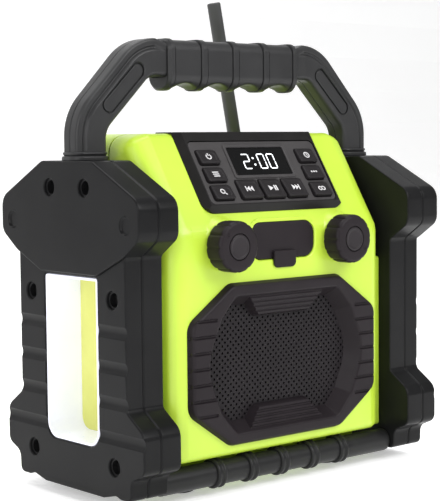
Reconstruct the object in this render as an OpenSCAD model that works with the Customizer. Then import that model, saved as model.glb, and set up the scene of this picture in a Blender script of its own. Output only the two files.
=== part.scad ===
// Portable job-site speaker with a tilted control panel, two rubber-clad end guards,
// a carrying handle, a side lamp and a folding aerial.
// Millimetres. X runs to the right, Y to the back, Z up, with the ground at zero.

/* [Body] */
// Gap between the body and a guard
side_gap = 6; // [4:0.5:10]
// Front face to the middle plane
body_front = 54; // [50:1:60]
// Back face to the middle plane
body_back = 54; // [50:1:60]
// Underside of the body above the ground
body_bottom = 23; // [21:0.5:32]
// Thickness of the moulded shells
wall = 3; // [2:0.2:4]
// Radius of the upright corners
corner_r = 13; // [8:1:16]
// Radius of the upper side edges
top_r = 10; // [5:1:14]
// Lean of the control face from upright, in degrees
slant_deg = 33; // [28:1:38]
// Plane where the two shells meet
split_y = 4; // [0:1:8]
// Thickness of the seal between the shells
gasket_t = 1.2; // [0.6:0.2:2]

/* [Guards] */
// Width over both guards
overall_w = 250; // [226:1:274]
// Thickness of one guard
guard_t = 29; // [26:1:32]
// Front to back over the shoulders of a guard
guard_depth = 140; // [132:1:152]
// Step from the shoulders of a guard in to its upright part
column_in = 16; // [12:0.5:19]
// Step from the shoulders of a guard in to its small corner feet
toe_in = 13; // [9:0.5:16]
// Lowest edge of the guards above the ground
guard_bottom = 6.5; // [4:0.5:8]
// Moulded thickness of a guard
guard_wall = 3; // [2.2:0.2:3.6]
// How far the shoulder plate stands out
shoulder_rise = 2; // [1:0.5:3]
// Step from the top of the body down to the top of the guards
guard_drop = 15.6; // [10:0.2:22]
// Width of the opening in a guard
window_w = 53.4; // [44:0.2:56]
// Lower edge of the opening above the ground
window_bottom = 34.7; // [32:0.1:42]
// Height of the opening
window_h = 99.8; // [86:0.2:104]
// Radius of the lower corners of the opening
window_r = 10; // [4:1:14]
// Depth of the grooves across the upright part
rib_depth = 1; // [0.4:0.2:1.6]
// Height of one of these grooves
rib_h = 6; // [4:0.5:8]
// Spacing of these grooves
rib_pitch = 20.5; // [16:0.5:22]

/* [Handle] */
// Room for the hand between the body and the grip
hand_gap = 26; // [20:0.5:32]
// Height of the grip
grip_h = 32.4; // [29:0.2:36]
// Front to back over the grip
grip_d = 23; // [20:0.5:27]
// Space from the grip to the bend of an arm
grip_inset = 17.2; // [16:0.2:22]
// Thickness of the arms, seen from the front
arm_t = 23; // [20:0.5:25]
// Front to back over the arms
arm_d = 18; // [16:0.5:20]
// Height of the legs, from the guards to the bend
leg_h = 23.1; // [18:0.1:27]
// Slope of the arms, in degrees
arm_deg = 44; // [40:1:50]
// Spacing of the finger recesses, and of the rings on the lower bars
finger_pitch = 26; // [22:0.5:27]
// Depth of a finger recess
finger_depth = 5; // [3.5:0.5:8]
// Radius of a finger recess
finger_r = 14; // [11:0.5:15]
// Height of the collars at the foot of the legs
collar_h = 5; // [3:0.5:7]

/* [Bars and feet] */
// Radius of the lower bars
bar_r = 7.5; // [6:0.25:8]
// How far a ring stands out from its bar
ring_rise = 1.7; // [1:0.1:2.2]
// Width of one ring
ring_w = 2.6; // [1.6:0.2:3.2]
// Radius of a rubber foot
foot_r = 10.5; // [8:0.5:12]
// Distance of the feet from the middle, sideways
foot_x = 61.5; // [46:0.5:68]

/* [Control panel] */
// How far the black surround stands out
bezel_h = 4; // [3.4:0.2:5]
// Length of the surround that lies on the top of the body
lip_l = 15; // [8:1:20]
// Thickness of the key plate
plate_t = 2.4; // [2:0.2:2.8]
// Width of a side key
key_w = 15.8; // [13:0.2:17]
// Height of a side key
key_h = 10.4; // [9:0.2:11.4]
// Width of a lower key
low_key_w = 17.4; // [14:0.2:19]
// Height of a lower key
low_key_h = 14; // [11:0.5:16]
// How far a key stands above the key plate
key_rise = 2; // [1.4:0.2:3]
// Travel of a key
key_travel = 0.8; // [0.4:0.1:1.2]
// Width of the display glass
lens_w = 47; // [38:0.5:50]
// Height of the display glass
lens_h = 20; // [17:0.5:24]

/* [Knobs] */
// Radius of a knob
knob_r = 15.4; // [13.5:0.2:17]
// Length of a knob
knob_l = 13; // [11.5:0.5:15]
// Radius of the cap in the knob's face
knob_cap_r = 7.5; // [6:0.1:9.5]
// Radius of the encoder shafts
shaft_r = 3; // [2.5:0.25:3.25]
// Flutes around a knob
knob_flutes = 12; // [12:1:30]

/* [Ports] */
// Width of the rubber door
door_w = 53; // [46:1:58]
// Height of the rubber door
door_h = 22.6; // [20:0.2:25]
// Thickness of the rubber door
door_t = 2.2; // [1.8:0.1:2.6]
// Width of the pull tab
tab_w = 18.4; // [14:0.2:26]
// Length of the pull tab below the door
tab_l = 5.6; // [4:0.2:8]
// Radius of the plug that the headphone jack takes
jack_r = 1.75; // [1.25:0.25:1.75]

/* [Speaker] */
// Space from the grille frame to the side of the body
grille_inset = 12; // [9:0.5:17]
// Height of the grille frame
grille_h = 98.7; // [92:0.1:106]
// Length of the upper and lower straight edges
grille_flat = 92; // [84:1:98]
// Length of the upright side edges
grille_side = 54; // [46:1:58]
// How far the frame stands out from the body
grille_rise = 4.5; // [3:0.5:5.5]
// Width of the frame's rim above and below
grille_rim = 7.5; // [6:0.1:9]
// Width of the frame's ribbed rim at the sides
side_rim = 13.4; // [11:0.1:16]
// Depth of the perforated sheet behind the frame's front
sheet_depth = 10; // [9:0.5:13]
// Radius of the holes in the perforated sheet
hole_r = 1.2; // [0.8:0.1:1.4]
// Spacing of the holes in the perforated sheet
hole_pitch = 7; // [6.6:0.2:8]
// Radius of the loudspeaker cone
cone_r = 33; // [28:1:34]
// Travel of the cone to either side
cone_travel = 1.2; // [0.5:0.1:1.5]

/* [Lamp] */
// Thickness of the white reflector tray
tray_t = 1.6; // [1.2:0.1:2.2]
// Thickness of the yellow light panel
cob_t = 1; // [0.8:0.1:1.6]

/* [Aerial] */
// Length of the aerial from its pivot
aerial_l = 117.3; // [105:0.1:130]
// Radius of the aerial
aerial_r = 4.7; // [3.5:0.1:5.2]
// Lean of the aerial at rest, in degrees
aerial_deg = 11.2; // [6:0.2:20]

/* [Electronics] */
// Width of the main circuit board
board_w = 110; // [90:1:120]
// Height of the main circuit board
board_h = 70; // [60:1:80]
// Radius of a battery cell
cell_r = 9.3; // [9:0.1:10.5]
// Space from the battery pack to the side of the body
pack_inset = 23; // [20:0.5:31]

/* [Fits] */
// Clearance between fixed pieces
fit = 0.2; // [0.15:0.05:0.3]
// Clearance around a key, a flap or a knob
slide_gap = 0.3; // [0.25:0.05:0.5]
// Radial clearance of a shaft in its bush
run_gap = 0.05; // [0.03:0.01:0.08]

/* [Hidden] */
$fn = 64;
arc_step = 12;
lime = [0.80, 0.95, 0.28];
black = [0.17, 0.17, 0.18];
plum = [0.22, 0.20, 0.21];
rubber = [0.13, 0.13, 0.13];
steel = [0.70, 0.70, 0.72];
board_green = [0.10, 0.35, 0.20];

// Widths, built in from the guards
body_w = overall_w - 2 * (guard_t + side_gap);
grille_w = body_w - 2 * grille_inset;
pack_l = body_w - 2 * pack_inset;

// Heights, built up from the underside: grille, knobs and ports, control face, top
grille_margin = 6.55;
boss_in = 0.8;
boss_margin = 7.95;
port_lift = 1.3;
slant_lift = 9.2;
boss_r = knob_r - boss_in;
grille_z = body_bottom + grille_margin + grille_h / 2;
knob_z = grille_z + grille_h / 2 + boss_margin + boss_r;
port_z = knob_z + port_lift;
door_top = port_z + door_h / 2;
slant_z = knob_z + slant_lift;

// Control face: s runs up the slope from the foot of the surround, w stands off it
slant_sin = sin(slant_deg);
slant_cos = cos(slant_deg);
panel_start = 11.6;
bezel_floor = 1.2;
bezel_side = 4.4;
bezel_edge = 0.5;
bezel_rim = 5.5;
bezel_head = 8.3;
lip_rise = 0.8;
plate_s = 4.3;
plate_top = bezel_floor + plate_t;
ledge = 2.4;
key_gap = 1.6;
key_margin = 2.6;
low_key_margin = 2.4;
key_row_gap = 2.2;
key_r = 1.5;
post_r = 1.7;
post_gap = 1;
lens_frame = 2.4;
lens_frame_h = 0.8;
lens_gap = 1.2;
low_key_s = plate_s + low_key_margin + low_key_h / 2;
low_key_pitch = low_key_w + key_gap;
key_row_s = plate_s + key_margin + key_h / 2;
key_pitch = key_h + key_row_gap;
lens_s = low_key_s + low_key_h / 2 + lens_gap + lens_frame + lens_h / 2;
post_x = max(low_key_pitch + low_key_w / 2, lens_w / 2 + lens_frame) + post_gap + post_r;
key_x = post_x + post_r + post_gap + slide_gap + key_w / 2;
plate_w = 2 * (key_x + key_w / 2 + key_margin + post_gap);
lens_end = lens_s + lens_h / 2 + lens_frame;
key_end = key_row_s + 2 * key_pitch + key_h / 2;
plate_l = max(lens_end, key_end) + key_margin - plate_s;
bezel_w = plate_w + 2 * bezel_rim;
open_x = plate_w / 2 - ledge;
open_s0 = plate_s + 1.4;
open_s1 = plate_s + plate_l - 0.8;
slope_top = plate_s + plate_l + bezel_head;
body_top = slant_z + (panel_start + slope_top) * slant_cos;
lens_t = 1.4;
lens_drop = 0.2;
lens_w_pos = plate_top - lens_drop - lens_t;
board_w_pos = -5;
pcb_t = 1.6;
switch_side = 6;
switch_gap = 0.15;
plunger_r = 1.6;
KEYS = [
    ["power_key", -key_x, key_row_s + 2 * key_pitch, key_w, key_h],
    ["mode_key", -key_x, key_row_s + key_pitch, key_w, key_h],
    ["scan_key", -key_x, key_row_s, key_w, key_h],
    ["previous_key", -low_key_pitch, low_key_s, low_key_w, low_key_h],
    ["play_key", 0, low_key_s, low_key_w, low_key_h],
    ["next_key", low_key_pitch, low_key_s, low_key_w, low_key_h],
    ["clock_key", key_x, key_row_s + 2 * key_pitch, key_w, key_h],
    ["preset_key", key_x, key_row_s + key_pitch, key_w, key_h],
    ["pair_key", key_x, key_row_s, key_w, key_h],
];

// Planes of the guards
column_depth = guard_depth - 2 * column_in;
toe_depth = guard_depth - 2 * toe_in;
guard_out = overall_w / 2;
guard_face = guard_out - shoulder_rise;
guard_mid = guard_out - guard_t / 2;
guard_in = guard_out - guard_t;
guard_top = body_top - guard_drop;
window_top = window_bottom + window_h;
low_shoulder_top = window_bottom + 14.2;
low_shoulder_root = window_bottom + 25;
shoulder_root = guard_top - 54.9;
shoulder_low = guard_top - 43.7;
shoulder_high = guard_top - 22.6;
roof_y = 25.8;

// Screws through the guards: across, up, and whether they reach the body
guard_bolt_r = 1.6;
guard_head_r = 4;
guard_head_l = 3;
guard_well_r = 4.5;
guard_floor = 4;
guard_boss_r = 6;
bolt_clear = 0.3;
top_bolt_y = 17.6;
top_bolt_drop = 15.7;
shoulder_bolt_in = 12.6;
shoulder_bolt_drop = 36.3;
column_bolt_in = 12.7;
column_bolt_y = column_depth / 2 - column_bolt_in;
column_bolt_drop = 11.6;
sill_bolt_drop = 8.7;
guard_bolts = [
    [top_bolt_y, guard_top - top_bolt_drop, false],
    [guard_depth / 2 - shoulder_bolt_in, guard_top - shoulder_bolt_drop, false],
    [column_bolt_y, window_top - column_bolt_drop, true],
    [column_bolt_y, window_bottom - sill_bolt_drop, true],
];

// Pads between the body and the guards
pad_in = 10;
pad_over = 1.5;
pad_under = 12;
pad_depth = column_depth - 2 * pad_in;
pad_top = window_top + pad_over;
pad_bottom = window_bottom - pad_under;

// Handle
grip_z = body_top + hand_gap + grip_h / 2;
arm_lift = 2.8;
grip_under = 0.9;
grip_top_r = 7;
arm_z = grip_z + arm_lift;
bend_z = guard_top + leg_h;
leg_a = 11;
leg_b = 8;
section_r = 5.5;
section_steps = 4;
core_wall = 3.1;
core_a = grip_h / 2 - arm_lift - core_wall;
core_b = grip_d / 2 - 3;
tenon_a = guard_t / 2 - guard_wall - shoulder_rise - 0.9;
tenon_b = 7;
flange_b = 11;
tenon_l = 12;
bend_x = guard_mid - (arm_z - bend_z) / tan(arm_deg);
bend_r = 24;
collar_t = 2.4;
band_w = 5.4;
band_rise = 0.8;
arm_panel_l = 40;
arm_panel_w = 10;
arm_panel_depth = 1;
arm_panel_up = 4.4;
arm_panel_in = 1.5;

// Lower bars and feet
ring_r = bar_r + ring_rise;
bar_set = 2.7;
bar_y = toe_depth / 2 - bar_r - bar_set;
bar_gap = 0.8;
bar_z = body_bottom - bar_gap - ring_r;
bar_bore = 3;
spigot_r = 4.5;
bar_rings = 5;
ring_split = 4.4;
collar_rise = ring_rise / 2;
foot_gap = 2.8;
foot_y = bar_y - ring_r - foot_gap - foot_r;
foot_stub_r = 4;
foot_chamfer = 1.2;
foot_chamfer_h = 4;
skirt_gap = 0.4;
skirt_t = 2;
skirt_h = 8;
skirt_l = body_w - 2 * corner_r;

// Knobs and encoders
door_gap = 7.3;
knob_x = door_w / 2 + door_gap + boss_r;
boss_rise = 0.6;
boss_back = 8;
boss_face = body_front + boss_rise;
knob_gap = 0.4;
knob_back = boss_face + knob_gap;
knob_front = knob_back + knob_l;
knob_edge = 1.2;
knob_hollow_r = 10.5;
knob_hollow_l = 5;
flute_r = 1.2;
bush_wall = 1.5;
bush_r = shaft_r + bush_wall;
bush_out = 2.2;
nut_rim = 2.7;
nut_r = bush_r + nut_rim;
nut_t = 2;
encoder_side = 13;
encoder_l = 7;
cap_t = 1.4;
cap_seat = 1.2;
shaft_front = knob_front - 3;
shaft_back = body_front - boss_back - encoder_l + 1.5;

// Port recess: the door lies in a pocket of the front shell
door_sink = 3.2;
door_floor = body_front - door_sink;
door_back = door_floor + slide_gap;
door_r = 8;
door_seat = 2.4;
tab_t = 1.4;
tab_r = 3;
tab_root = 5;
port_w = door_w - 5;
port_h = door_h - 5.1;
port_floor = -body_front + boss_back;
plug_gap = 1;
plug_l = 2.4;
panel_t = 1.5;
socket_l = 13;
usb_w = 13.2;
usb_h = 6.4;
usb_skin = 0.5;
usb_x = -9;
jack_x = 11;
jack_side = 8;
jack_nose_r = 3;

// Grille and loudspeaker
grille_front = body_front + grille_rise;
sheet_y = -(grille_front - sheet_depth);
sheet_t = 1;
grille_lip = 5;
rim_slope = 6.5;
rim_taper = 2.3;
rib_count = 7;
grille_rib_pitch = 9.5;
grille_rib_h = 1.4;
grille_rib_depth = 1.2;
notch_h = 3.2;
notch_d = 1.6;
grille_corner = 10;
mouth_flat = 43;
mouth_corner = [23, 28.5];
mouth_bulge = 2.7;
mouth_r = 60;
ledge_front_l = 64;
ledge_back_l = 42;
ledge_drop = 13.2;
ledge_stand = 5;
chamfer_mid = [grille_w + grille_flat, grille_side + grille_h] / 4;
chamfer_in = unit([grille_side - grille_h, grille_flat - grille_w]);
speaker_bolt = chamfer_mid + chamfer_in * (grille_lip + 4);
speaker_bolt_r = 1.5;
speaker_head_r = 3;
speaker_grip = 4;
flange_t = 2;
flange_y = sheet_y + sheet_t;
seat_y = flange_y + 3.2;
roll_r = 2.5;
basket_r = cone_r + 2 * roll_r + 5;
flange_w = 2 * (speaker_bolt[0] + 5);
flange_h = 2 * basket_r - 2;
basket_l = 28;
coil_r = 13;
coil_t = 1;
magnet_r = 26;
magnet_l = 12.5;
magnet_floor = 3;

// Lamp, electronics and fittings on the back
tray_end = guard_face - 0.6;
tray_base = guard_in + fit;
board_in = 24;
board_drop = 63;
board_y = body_back - board_in;
board_z = body_top - board_drop;
standoff_r = 3.5;
board_hold = 6;
charge_x = -50;
charge_lift = 39;
charge_z = body_bottom + charge_lift;
charge_w = 9;
charge_h = 3.4;
cover_w = 24;
cover_h = 14;
cover_t = 2.4;
aerial_in = 23.5;
aerial_drop = 25;
aerial_x = body_w / 2 - aerial_in;
aerial_z = body_top - aerial_drop;
aerial_boss_r = 11;
aerial_boss_l = 3;
aerial_seat = body_back + aerial_boss_l;
boss_root = body_back - corner_r;
aerial_y = aerial_seat + slide_gap + aerial_r;
knuckle_r = 7;
knuckle_l = knuckle_r + 4;
tip_edge = 0.8;
pivot_r = 3;
pivot_head = 2.2;
pivot_head_l = 1.6;
rest_x = -22;
rest_w = 10;
rest_t = 3;
rest_lip = 2;
rest_h = 5;
rest_gap = 0.7;
case_boss_r = 4.5;
case_bolt_r = 1.5;
case_head_r = 3;
case_head_l = 2.5;
case_floor = 5;
case_bolt_l = 22;

// Outlines: each point is [across, up, radius], listed anticlockwise
function flat(p) = [p[0], p[1]];
function unit(v) = v / norm(v);
function mirrored(half) = concat(
    half,
    [for (i = [len(half) - 1:-1:0]) [-half[i][0], half[i][1], half[i][2]]]
);

// Arc that rounds the corner at b between a and c
function corner_arc(a, b, c, r) =
    let (
        u = unit(a - b),
        v = unit(c - b),
        spread = acos(max(-1, min(1, u * v))),
        reach = min(r / tan(spread / 2), 0.48 * norm(a - b), 0.48 * norm(c - b)),
        radius = reach * tan(spread / 2),
        centre = b + unit(u + v) * radius / sin(spread / 2),
        from = b + u * reach - centre,
        start = atan2(from[1], from[0]),
        turn = (u[0] * v[1] - u[1] * v[0] < 0 ? 1 : -1) * (180 - spread),
        steps = max(1, ceil((180 - spread) / arc_step))
    )
    [for (k = [0:steps]) centre + radius * [cos(start + turn * k / steps), sin(start + turn * k / steps)]];

function rounded(points) =
    let (n = len(points))
    [
        for (i = [0:n - 1])
            each points[i][2] <= 0
                ? [flat(points[i])]
                : corner_arc(
                    flat(points[(i + n - 1) % n]), flat(points[i]), flat(points[(i + 1) % n]), points[i][2]
                )
    ];

// The same outline moved inward by d, or outward where d is negative
function inset(points, d) =
    let (n = len(points))
    [
        for (i = [0:n - 1])
            let (
                b = flat(points[i]),
                e = unit(b - flat(points[(i + n - 1) % n])),
                f = unit(flat(points[(i + 1) % n]) - b),
                ne = [-e[1], e[0]],
                nf = [-f[1], f[0]],
                p = b + d * (ne + nf) / (1 + ne * nf),
                bulge = e[0] * f[1] - e[1] * f[0] > 0 ? -1 : 1
            )
            [p[0], p[1], max(0.3, points[i][2] + bulge * d)]
    ];

function rect(w, h, r, x = 0, y = 0) = [
    [x + w / 2, y - h / 2, r], [x + w / 2, y + h / 2, r],
    [x - w / 2, y + h / 2, r], [x - w / 2, y - h / 2, r],
];

module outline(points) { polygon(rounded(points)); }

// Extrusions along X and Y of outlines drawn as [y, z] and [x, z]
module along_x(from, to) {
    translate([from, 0, 0]) rotate([90, 0, 90]) linear_extrude(to - from) children();
}
module along_y(from, to) {
    translate([0, to, 0]) rotate([90, 0, 0]) linear_extrude(to - from) children();
}

// Round bars along X and Y
module rod_x(y, z, r, from, to) {
    translate([from, y, z]) rotate([0, 90, 0]) cylinder(r = r, h = to - from);
}
module rod_y(x, z, r, from, to) {
    translate([x, from, z]) rotate([-90, 0, 0]) cylinder(r = r, h = to - from);
}

// Shape drawn for the right-hand side, placed on either side
module on_side(side) {
    if (side > 0) children();
    else mirror([1, 0, 0]) children();
}

// Solid between two outlines of equal length that lie in planes across Y
module loft_y(near, near_y, far, far_y) {
    n = len(near);
    polyhedron(
        points = concat([for (p = near) [p[0], near_y, p[1]]], [for (p = far) [p[0], far_y, p[1]]]),
        faces = concat(
            [[for (i = [n - 1:-1:0]) i]],
            [[for (i = [0:n - 1]) n + i]],
            [for (i = [0:n - 1]) [i, (i + 1) % n, n + i]],
            [for (i = [0:n - 1]) [(i + 1) % n, n + (i + 1) % n, n + i]]
        )
    );
}

// Body
side_profile = [
    [-body_front, body_bottom, 5],
    [body_back, body_bottom, 6],
    [body_back, body_top, 12],
    [-body_front + (body_top - slant_z) * tan(slant_deg), body_top, 8],
    [-body_front, slant_z, 16],
];
front_outline = [
    [body_w / 2, body_bottom, 4], [body_w / 2, body_top, top_r],
    [-body_w / 2, body_top, top_r], [-body_w / 2, body_bottom, 4],
];
plan_outline = [
    [body_w / 2, -body_front, corner_r], [body_w / 2, body_back, corner_r],
    [-body_w / 2, body_back, corner_r], [-body_w / 2, -body_front, corner_r],
];

module body_form(d) {
    intersection() {
        along_x(-body_w / 2 + d, body_w / 2 - d) outline(inset(side_profile, d));
        along_y(-body_front - 1, body_back + 1) outline(inset(front_outline, d));
        linear_extrude(body_top + 1) outline(inset(plan_outline, d));
    }
}

// Pads that carry the guards
module side_pads() {
    for (side = [-1, 1])
        on_side(side)
            translate([body_w / 2 - 1, -pad_depth / 2, pad_bottom])
                cube([guard_in - body_w / 2 + 1, pad_depth, pad_top - pad_bottom]);
}

module shell_blank() {
    difference() {
        union() {
            body_form(0);
            side_pads();
        }
        body_form(wall);
    }
}

// Slice of the body between two planes across Y
module slice_y(from, to) {
    translate([-overall_w, from, -1]) cube([2 * overall_w, to - from, body_top + 2]);
}

module on_panel() {
    translate([0, -body_front, slant_z])
        rotate([90 - slant_deg, 0, 0]) translate([0, panel_start, 0]) children();
}

// Screws that hold the shells together: across, up
case_bolt_x = body_w / 2 - wall - case_boss_r + 0.6;
case_bolts = [for (x = [-1, 1], z = [body_bottom + 16, body_top - 22]) [x * case_bolt_x, z]];

// Openings of both shells for the screws of the guards and the studs of the feet
module shared_holes() {
    inside = body_w / 2 - wall - 8;
    for (side = [-1, 1], front = [-1, 1]) {
        for (b = guard_bolts)
            if (b[2])
                on_side(side) rod_x(front * b[0], b[1], guard_bolt_r + run_gap, inside, guard_in + 1);
        translate([side * foot_x, front * foot_y, body_bottom - 1])
            cylinder(r = foot_stub_r + fit, h = wall + 2);
    }
}

// Rib under a shell that closes the view between the body and its bar
module skirt(front) {
    y = front * (bar_y - ring_r - skirt_gap - skirt_t / 2);
    translate([-skirt_l / 2, y - skirt_t / 2, body_bottom - skirt_h])
        cube([skirt_l, skirt_t, skirt_h + wall / 2]);
}

module front_shell() {
    color(lime)
    difference() {
        union() {
            intersection() {
                shell_blank();
                slice_y(-body_front - 1, split_y - gasket_t / 2);
            }
            skirt(-1);
            for (side = [-1, 1]) rod_y(side * knob_x, knob_z, boss_r, -boss_face, -body_front + boss_back);
            along_y(-body_front + wall / 2, -body_front + boss_back)
                outline(inset(door_outline, -door_seat));
            for (b = case_bolts)
                rod_y(b[0], b[1], case_boss_r, split_y - case_bolt_l - 2, split_y - gasket_t / 2);
        }
        shared_holes();
        for (b = case_bolts) rod_y(b[0], b[1], case_bolt_r + run_gap, split_y - case_bolt_l, split_y);
        for (side = [-1, 1]) rod_y(side * knob_x, knob_z, bush_r + fit, -boss_face - 1, 0);
        along_y(-body_front - 1, -door_floor) outline(inset(door_outline, -slide_gap));
        along_y(-body_front - 1, -body_front + boss_back + 1) outline(rect(port_w, port_h, 5, 0, port_z));
        along_y(-body_front - 1, -body_front + wall + 1) outline(inset(grille_outline, grille_lip - fit));
        on_panel()
            translate([-open_x, open_s0, -wall - 2]) cube([2 * open_x, open_s1 - open_s0, wall + 3]);
    }
}

module rear_shell() {
    color(lime)
    difference() {
        union() {
            intersection() {
                shell_blank();
                slice_y(split_y + gasket_t / 2, body_back + 1);
            }
            skirt(1);
            for (b = case_bolts)
                rod_y(b[0], b[1], case_boss_r, split_y + gasket_t / 2, body_back - wall / 2);
            for (x = [-1, 1], z = [-1, 1])
                translate([x * (board_w / 2 - board_hold), 0, board_z + z * (board_h / 2 - board_hold)])
                    rod_y(0, 0, standoff_r, board_y + pcb_t, body_back - 1);
            rod_y(aerial_x, aerial_z, aerial_boss_r, boss_root, aerial_seat);
            aerial_rest();
        }
        shared_holes();
        for (b = case_bolts) {
            rod_y(b[0], b[1], case_bolt_r + bolt_clear, split_y, body_back + 1);
            rod_y(b[0], b[1], case_head_r + bolt_clear, split_y + case_floor, body_back + 1);
        }
        rod_y(aerial_x, aerial_z, pivot_r + run_gap, boss_root - 1, aerial_seat + 1);
        translate([charge_x, 0, charge_z])
            along_y(body_back - wall - 1, body_back + 1)
                outline(rect(charge_w + 2 * fit, charge_h + 2 * fit, 1.5));
    }
}

// Open hook on the back that the folded aerial lies in
module aerial_rest() {
    foot = aerial_z - aerial_r - rest_gap - rest_t;
    reach = aerial_y + aerial_r + rest_gap - body_back;
    translate([rest_x, body_back - 1, foot]) cube([rest_w, reach + rest_lip + 1, rest_t]);
    translate([rest_x, body_back + reach, foot]) cube([rest_w, rest_lip, rest_t + rest_h]);
}

module shell_gasket() {
    color(rubber)
    difference() {
        intersection() {
            shell_blank();
            slice_y(split_y - gasket_t / 2, split_y + gasket_t / 2);
        }
        shared_holes();
    }
}

// Guards
guard_outline = mirrored([
    [30, guard_bottom, 6],
    [42, guard_bottom + 3, 6],
    [47, guard_bottom + 1.5, 2],
    [toe_depth / 2, guard_bottom + 1.5, 4],
    [toe_depth / 2 + 0.6, guard_bottom + 14, 6],
    [guard_depth / 2, guard_bottom + 19.5, 6],
    [guard_depth / 2, low_shoulder_top, 9],
    [column_depth / 2, low_shoulder_root, 4],
    [column_depth / 2, shoulder_root, 4],
    [guard_depth / 2, shoulder_low, 8],
    [guard_depth / 2, shoulder_high, 10],
    [roof_y, guard_top, 8],
]);
shoulder_outline = mirrored([
    [28.3, window_top + 1.5, 3],
    [column_depth / 2, shoulder_root, 20],
    [guard_depth / 2, shoulder_low, 8],
    [guard_depth / 2, shoulder_high, 10],
    [roof_y, guard_top, 8],
]);
window_outline = [
    [window_w / 2, window_bottom, window_r], [window_w / 2, window_top, 2],
    [-window_w / 2, window_top, 2], [-window_w / 2, window_bottom, window_r],
];

// Space inside a guard half, with the screw posts left standing
module guard_cavity() {
    difference() {
        outline(inset(guard_outline, guard_wall));
        outline(inset(window_outline, -guard_wall));
        for (b = guard_bolts, front = [-1, 1]) translate([front * b[0], b[1]]) circle(guard_boss_r);
    }
}

module leg_notch() {
    notch_a = tenon_a + fit;
    notch_b = tenon_b + fit;
    translate([guard_mid - notch_a, -notch_b, guard_top - guard_wall - 1])
        cube([2 * notch_a, 2 * notch_b, guard_wall + 2]);
}

// Shallow grooves across the upright part of the outer face
module guard_ribs() {
    for (k = [0:3])
        translate([0, 0, window_bottom + 8.3 + k * rib_pitch])
            along_y(-guard_depth, guard_depth)
                polygon([
                    [guard_face + 1, -rib_h / 2 - rib_depth], [guard_face - rib_depth, -rib_h / 2],
                    [guard_face - rib_depth, rib_h / 2], [guard_face + 1, rib_h / 2 + rib_depth],
                ]);
}

module guard_outer() {
    color(black)
    difference() {
        union() {
            difference() {
                along_x(guard_mid, guard_face) outline(guard_outline);
                guard_ribs();
            }
            along_x(guard_face - rib_depth, guard_out) outline(shoulder_outline);
        }
        along_x(guard_mid - 1, guard_face - guard_wall) guard_cavity();
        along_x(guard_mid - 1, guard_out + 1) outline(window_outline);
        leg_notch();
        for (b = guard_bolts, front = [-1, 1]) {
            rod_x(front * b[0], b[1], guard_bolt_r + bolt_clear, guard_mid - 1, guard_out);
            rod_x(front * b[0], b[1], guard_well_r, guard_mid + guard_floor, guard_out + 1);
        }
    }
}

module guard_inner() {
    color(black)
    difference() {
        along_x(guard_in, guard_mid) outline(guard_outline);
        along_x(guard_in + guard_wall, guard_mid + 1) guard_cavity();
        along_x(guard_in - 1, guard_mid + 1) outline(window_outline);
        leg_notch();
        for (b = guard_bolts, front = [-1, 1])
            rod_x(front * b[0], b[1], guard_bolt_r + run_gap, guard_in + (b[2] ? -1 : 2), guard_mid + 1);
        for (front = [-1, 1])
            rod_x(front * bar_y, bar_z, spigot_r + fit, guard_in - 1, guard_in + guard_wall + 1);
    }
}

module left_guard_outer() { on_side(-1) guard_outer(); }
module left_guard_inner() { on_side(-1) guard_inner(); }
module right_guard_outer() { on_side(1) guard_outer(); }
module right_guard_inner() { on_side(1) guard_inner(); }

module guard_screws() {
    head = guard_mid + guard_floor;
    color(steel)
    for (side = [-1, 1], front = [-1, 1], b = guard_bolts)
        on_side(side) {
            rod_x(front * b[0], b[1], guard_head_r, head, head + guard_head_l);
            rod_x(front * b[0], b[1], guard_bolt_r, b[2] ? body_w / 2 - wall - 4 : guard_in + 4, head);
        }
}

module case_screws() {
    color(steel)
    for (b = case_bolts) {
        rod_y(b[0], b[1], case_head_r, split_y + case_floor, split_y + case_floor + case_head_l);
        rod_y(b[0], b[1], case_bolt_r, split_y - case_bolt_l + 2, split_y + case_floor);
    }
}

// Handle: half sections swept along the path from the left leg to the right leg
handle_corners = [
    [-guard_mid, guard_top, 0], [-guard_mid, bend_z, bend_r], [-bend_x, arm_z, bend_r],
    [bend_x, arm_z, bend_r], [guard_mid, bend_z, bend_r], [guard_mid, guard_top, 0],
];
function bend(i) =
    let (c = handle_corners)
    corner_arc(flat(c[i - 1]), flat(c[i]), flat(c[i + 1]), c[i][2]);
grip_end = bend_x - grip_inset;
step_gap = 0.01;
arm_run = concat([[-guard_mid, guard_top]], bend(1), bend(2), [[-grip_end - step_gap, arm_z]]);
core_run = [[-grip_end, arm_z], [grip_end, arm_z]];
function opposite(run) = [for (i = [len(run) - 1:-1:0]) [-run[i][0], run[i][1]]];
handle_path = concat(arm_run, core_run, opposite(arm_run));

function mix(a, b, t) = a + (b - a) * max(0, min(1, t));
function path_turn(i) = unit(handle_path[min(i + 1, len(handle_path) - 1)] - handle_path[max(i - 1, 0)]);
function rise(p) = (p[1] - guard_top - 12) / (arm_z - guard_top - 24);
function in_grip(p) = abs(p[0]) <= grip_end;
function half_a(p) = in_grip(p) ? core_a : mix(leg_a, arm_t / 2, rise(p));
function half_b(p) = in_grip(p) ? core_b : mix(leg_b, arm_d / 2, rise(p));
function half_section(a, b) = concat(
    [[a, 0]],
    [for (k = [0:section_steps]) [a - section_r, b - section_r]
        + section_r * [cos(90 * k / section_steps), sin(90 * k / section_steps)]],
    [for (k = [0:section_steps]) [section_r - a, b - section_r]
        + section_r * [-sin(90 * k / section_steps), cos(90 * k / section_steps)]],
    [[-a, 0]]
);

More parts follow.
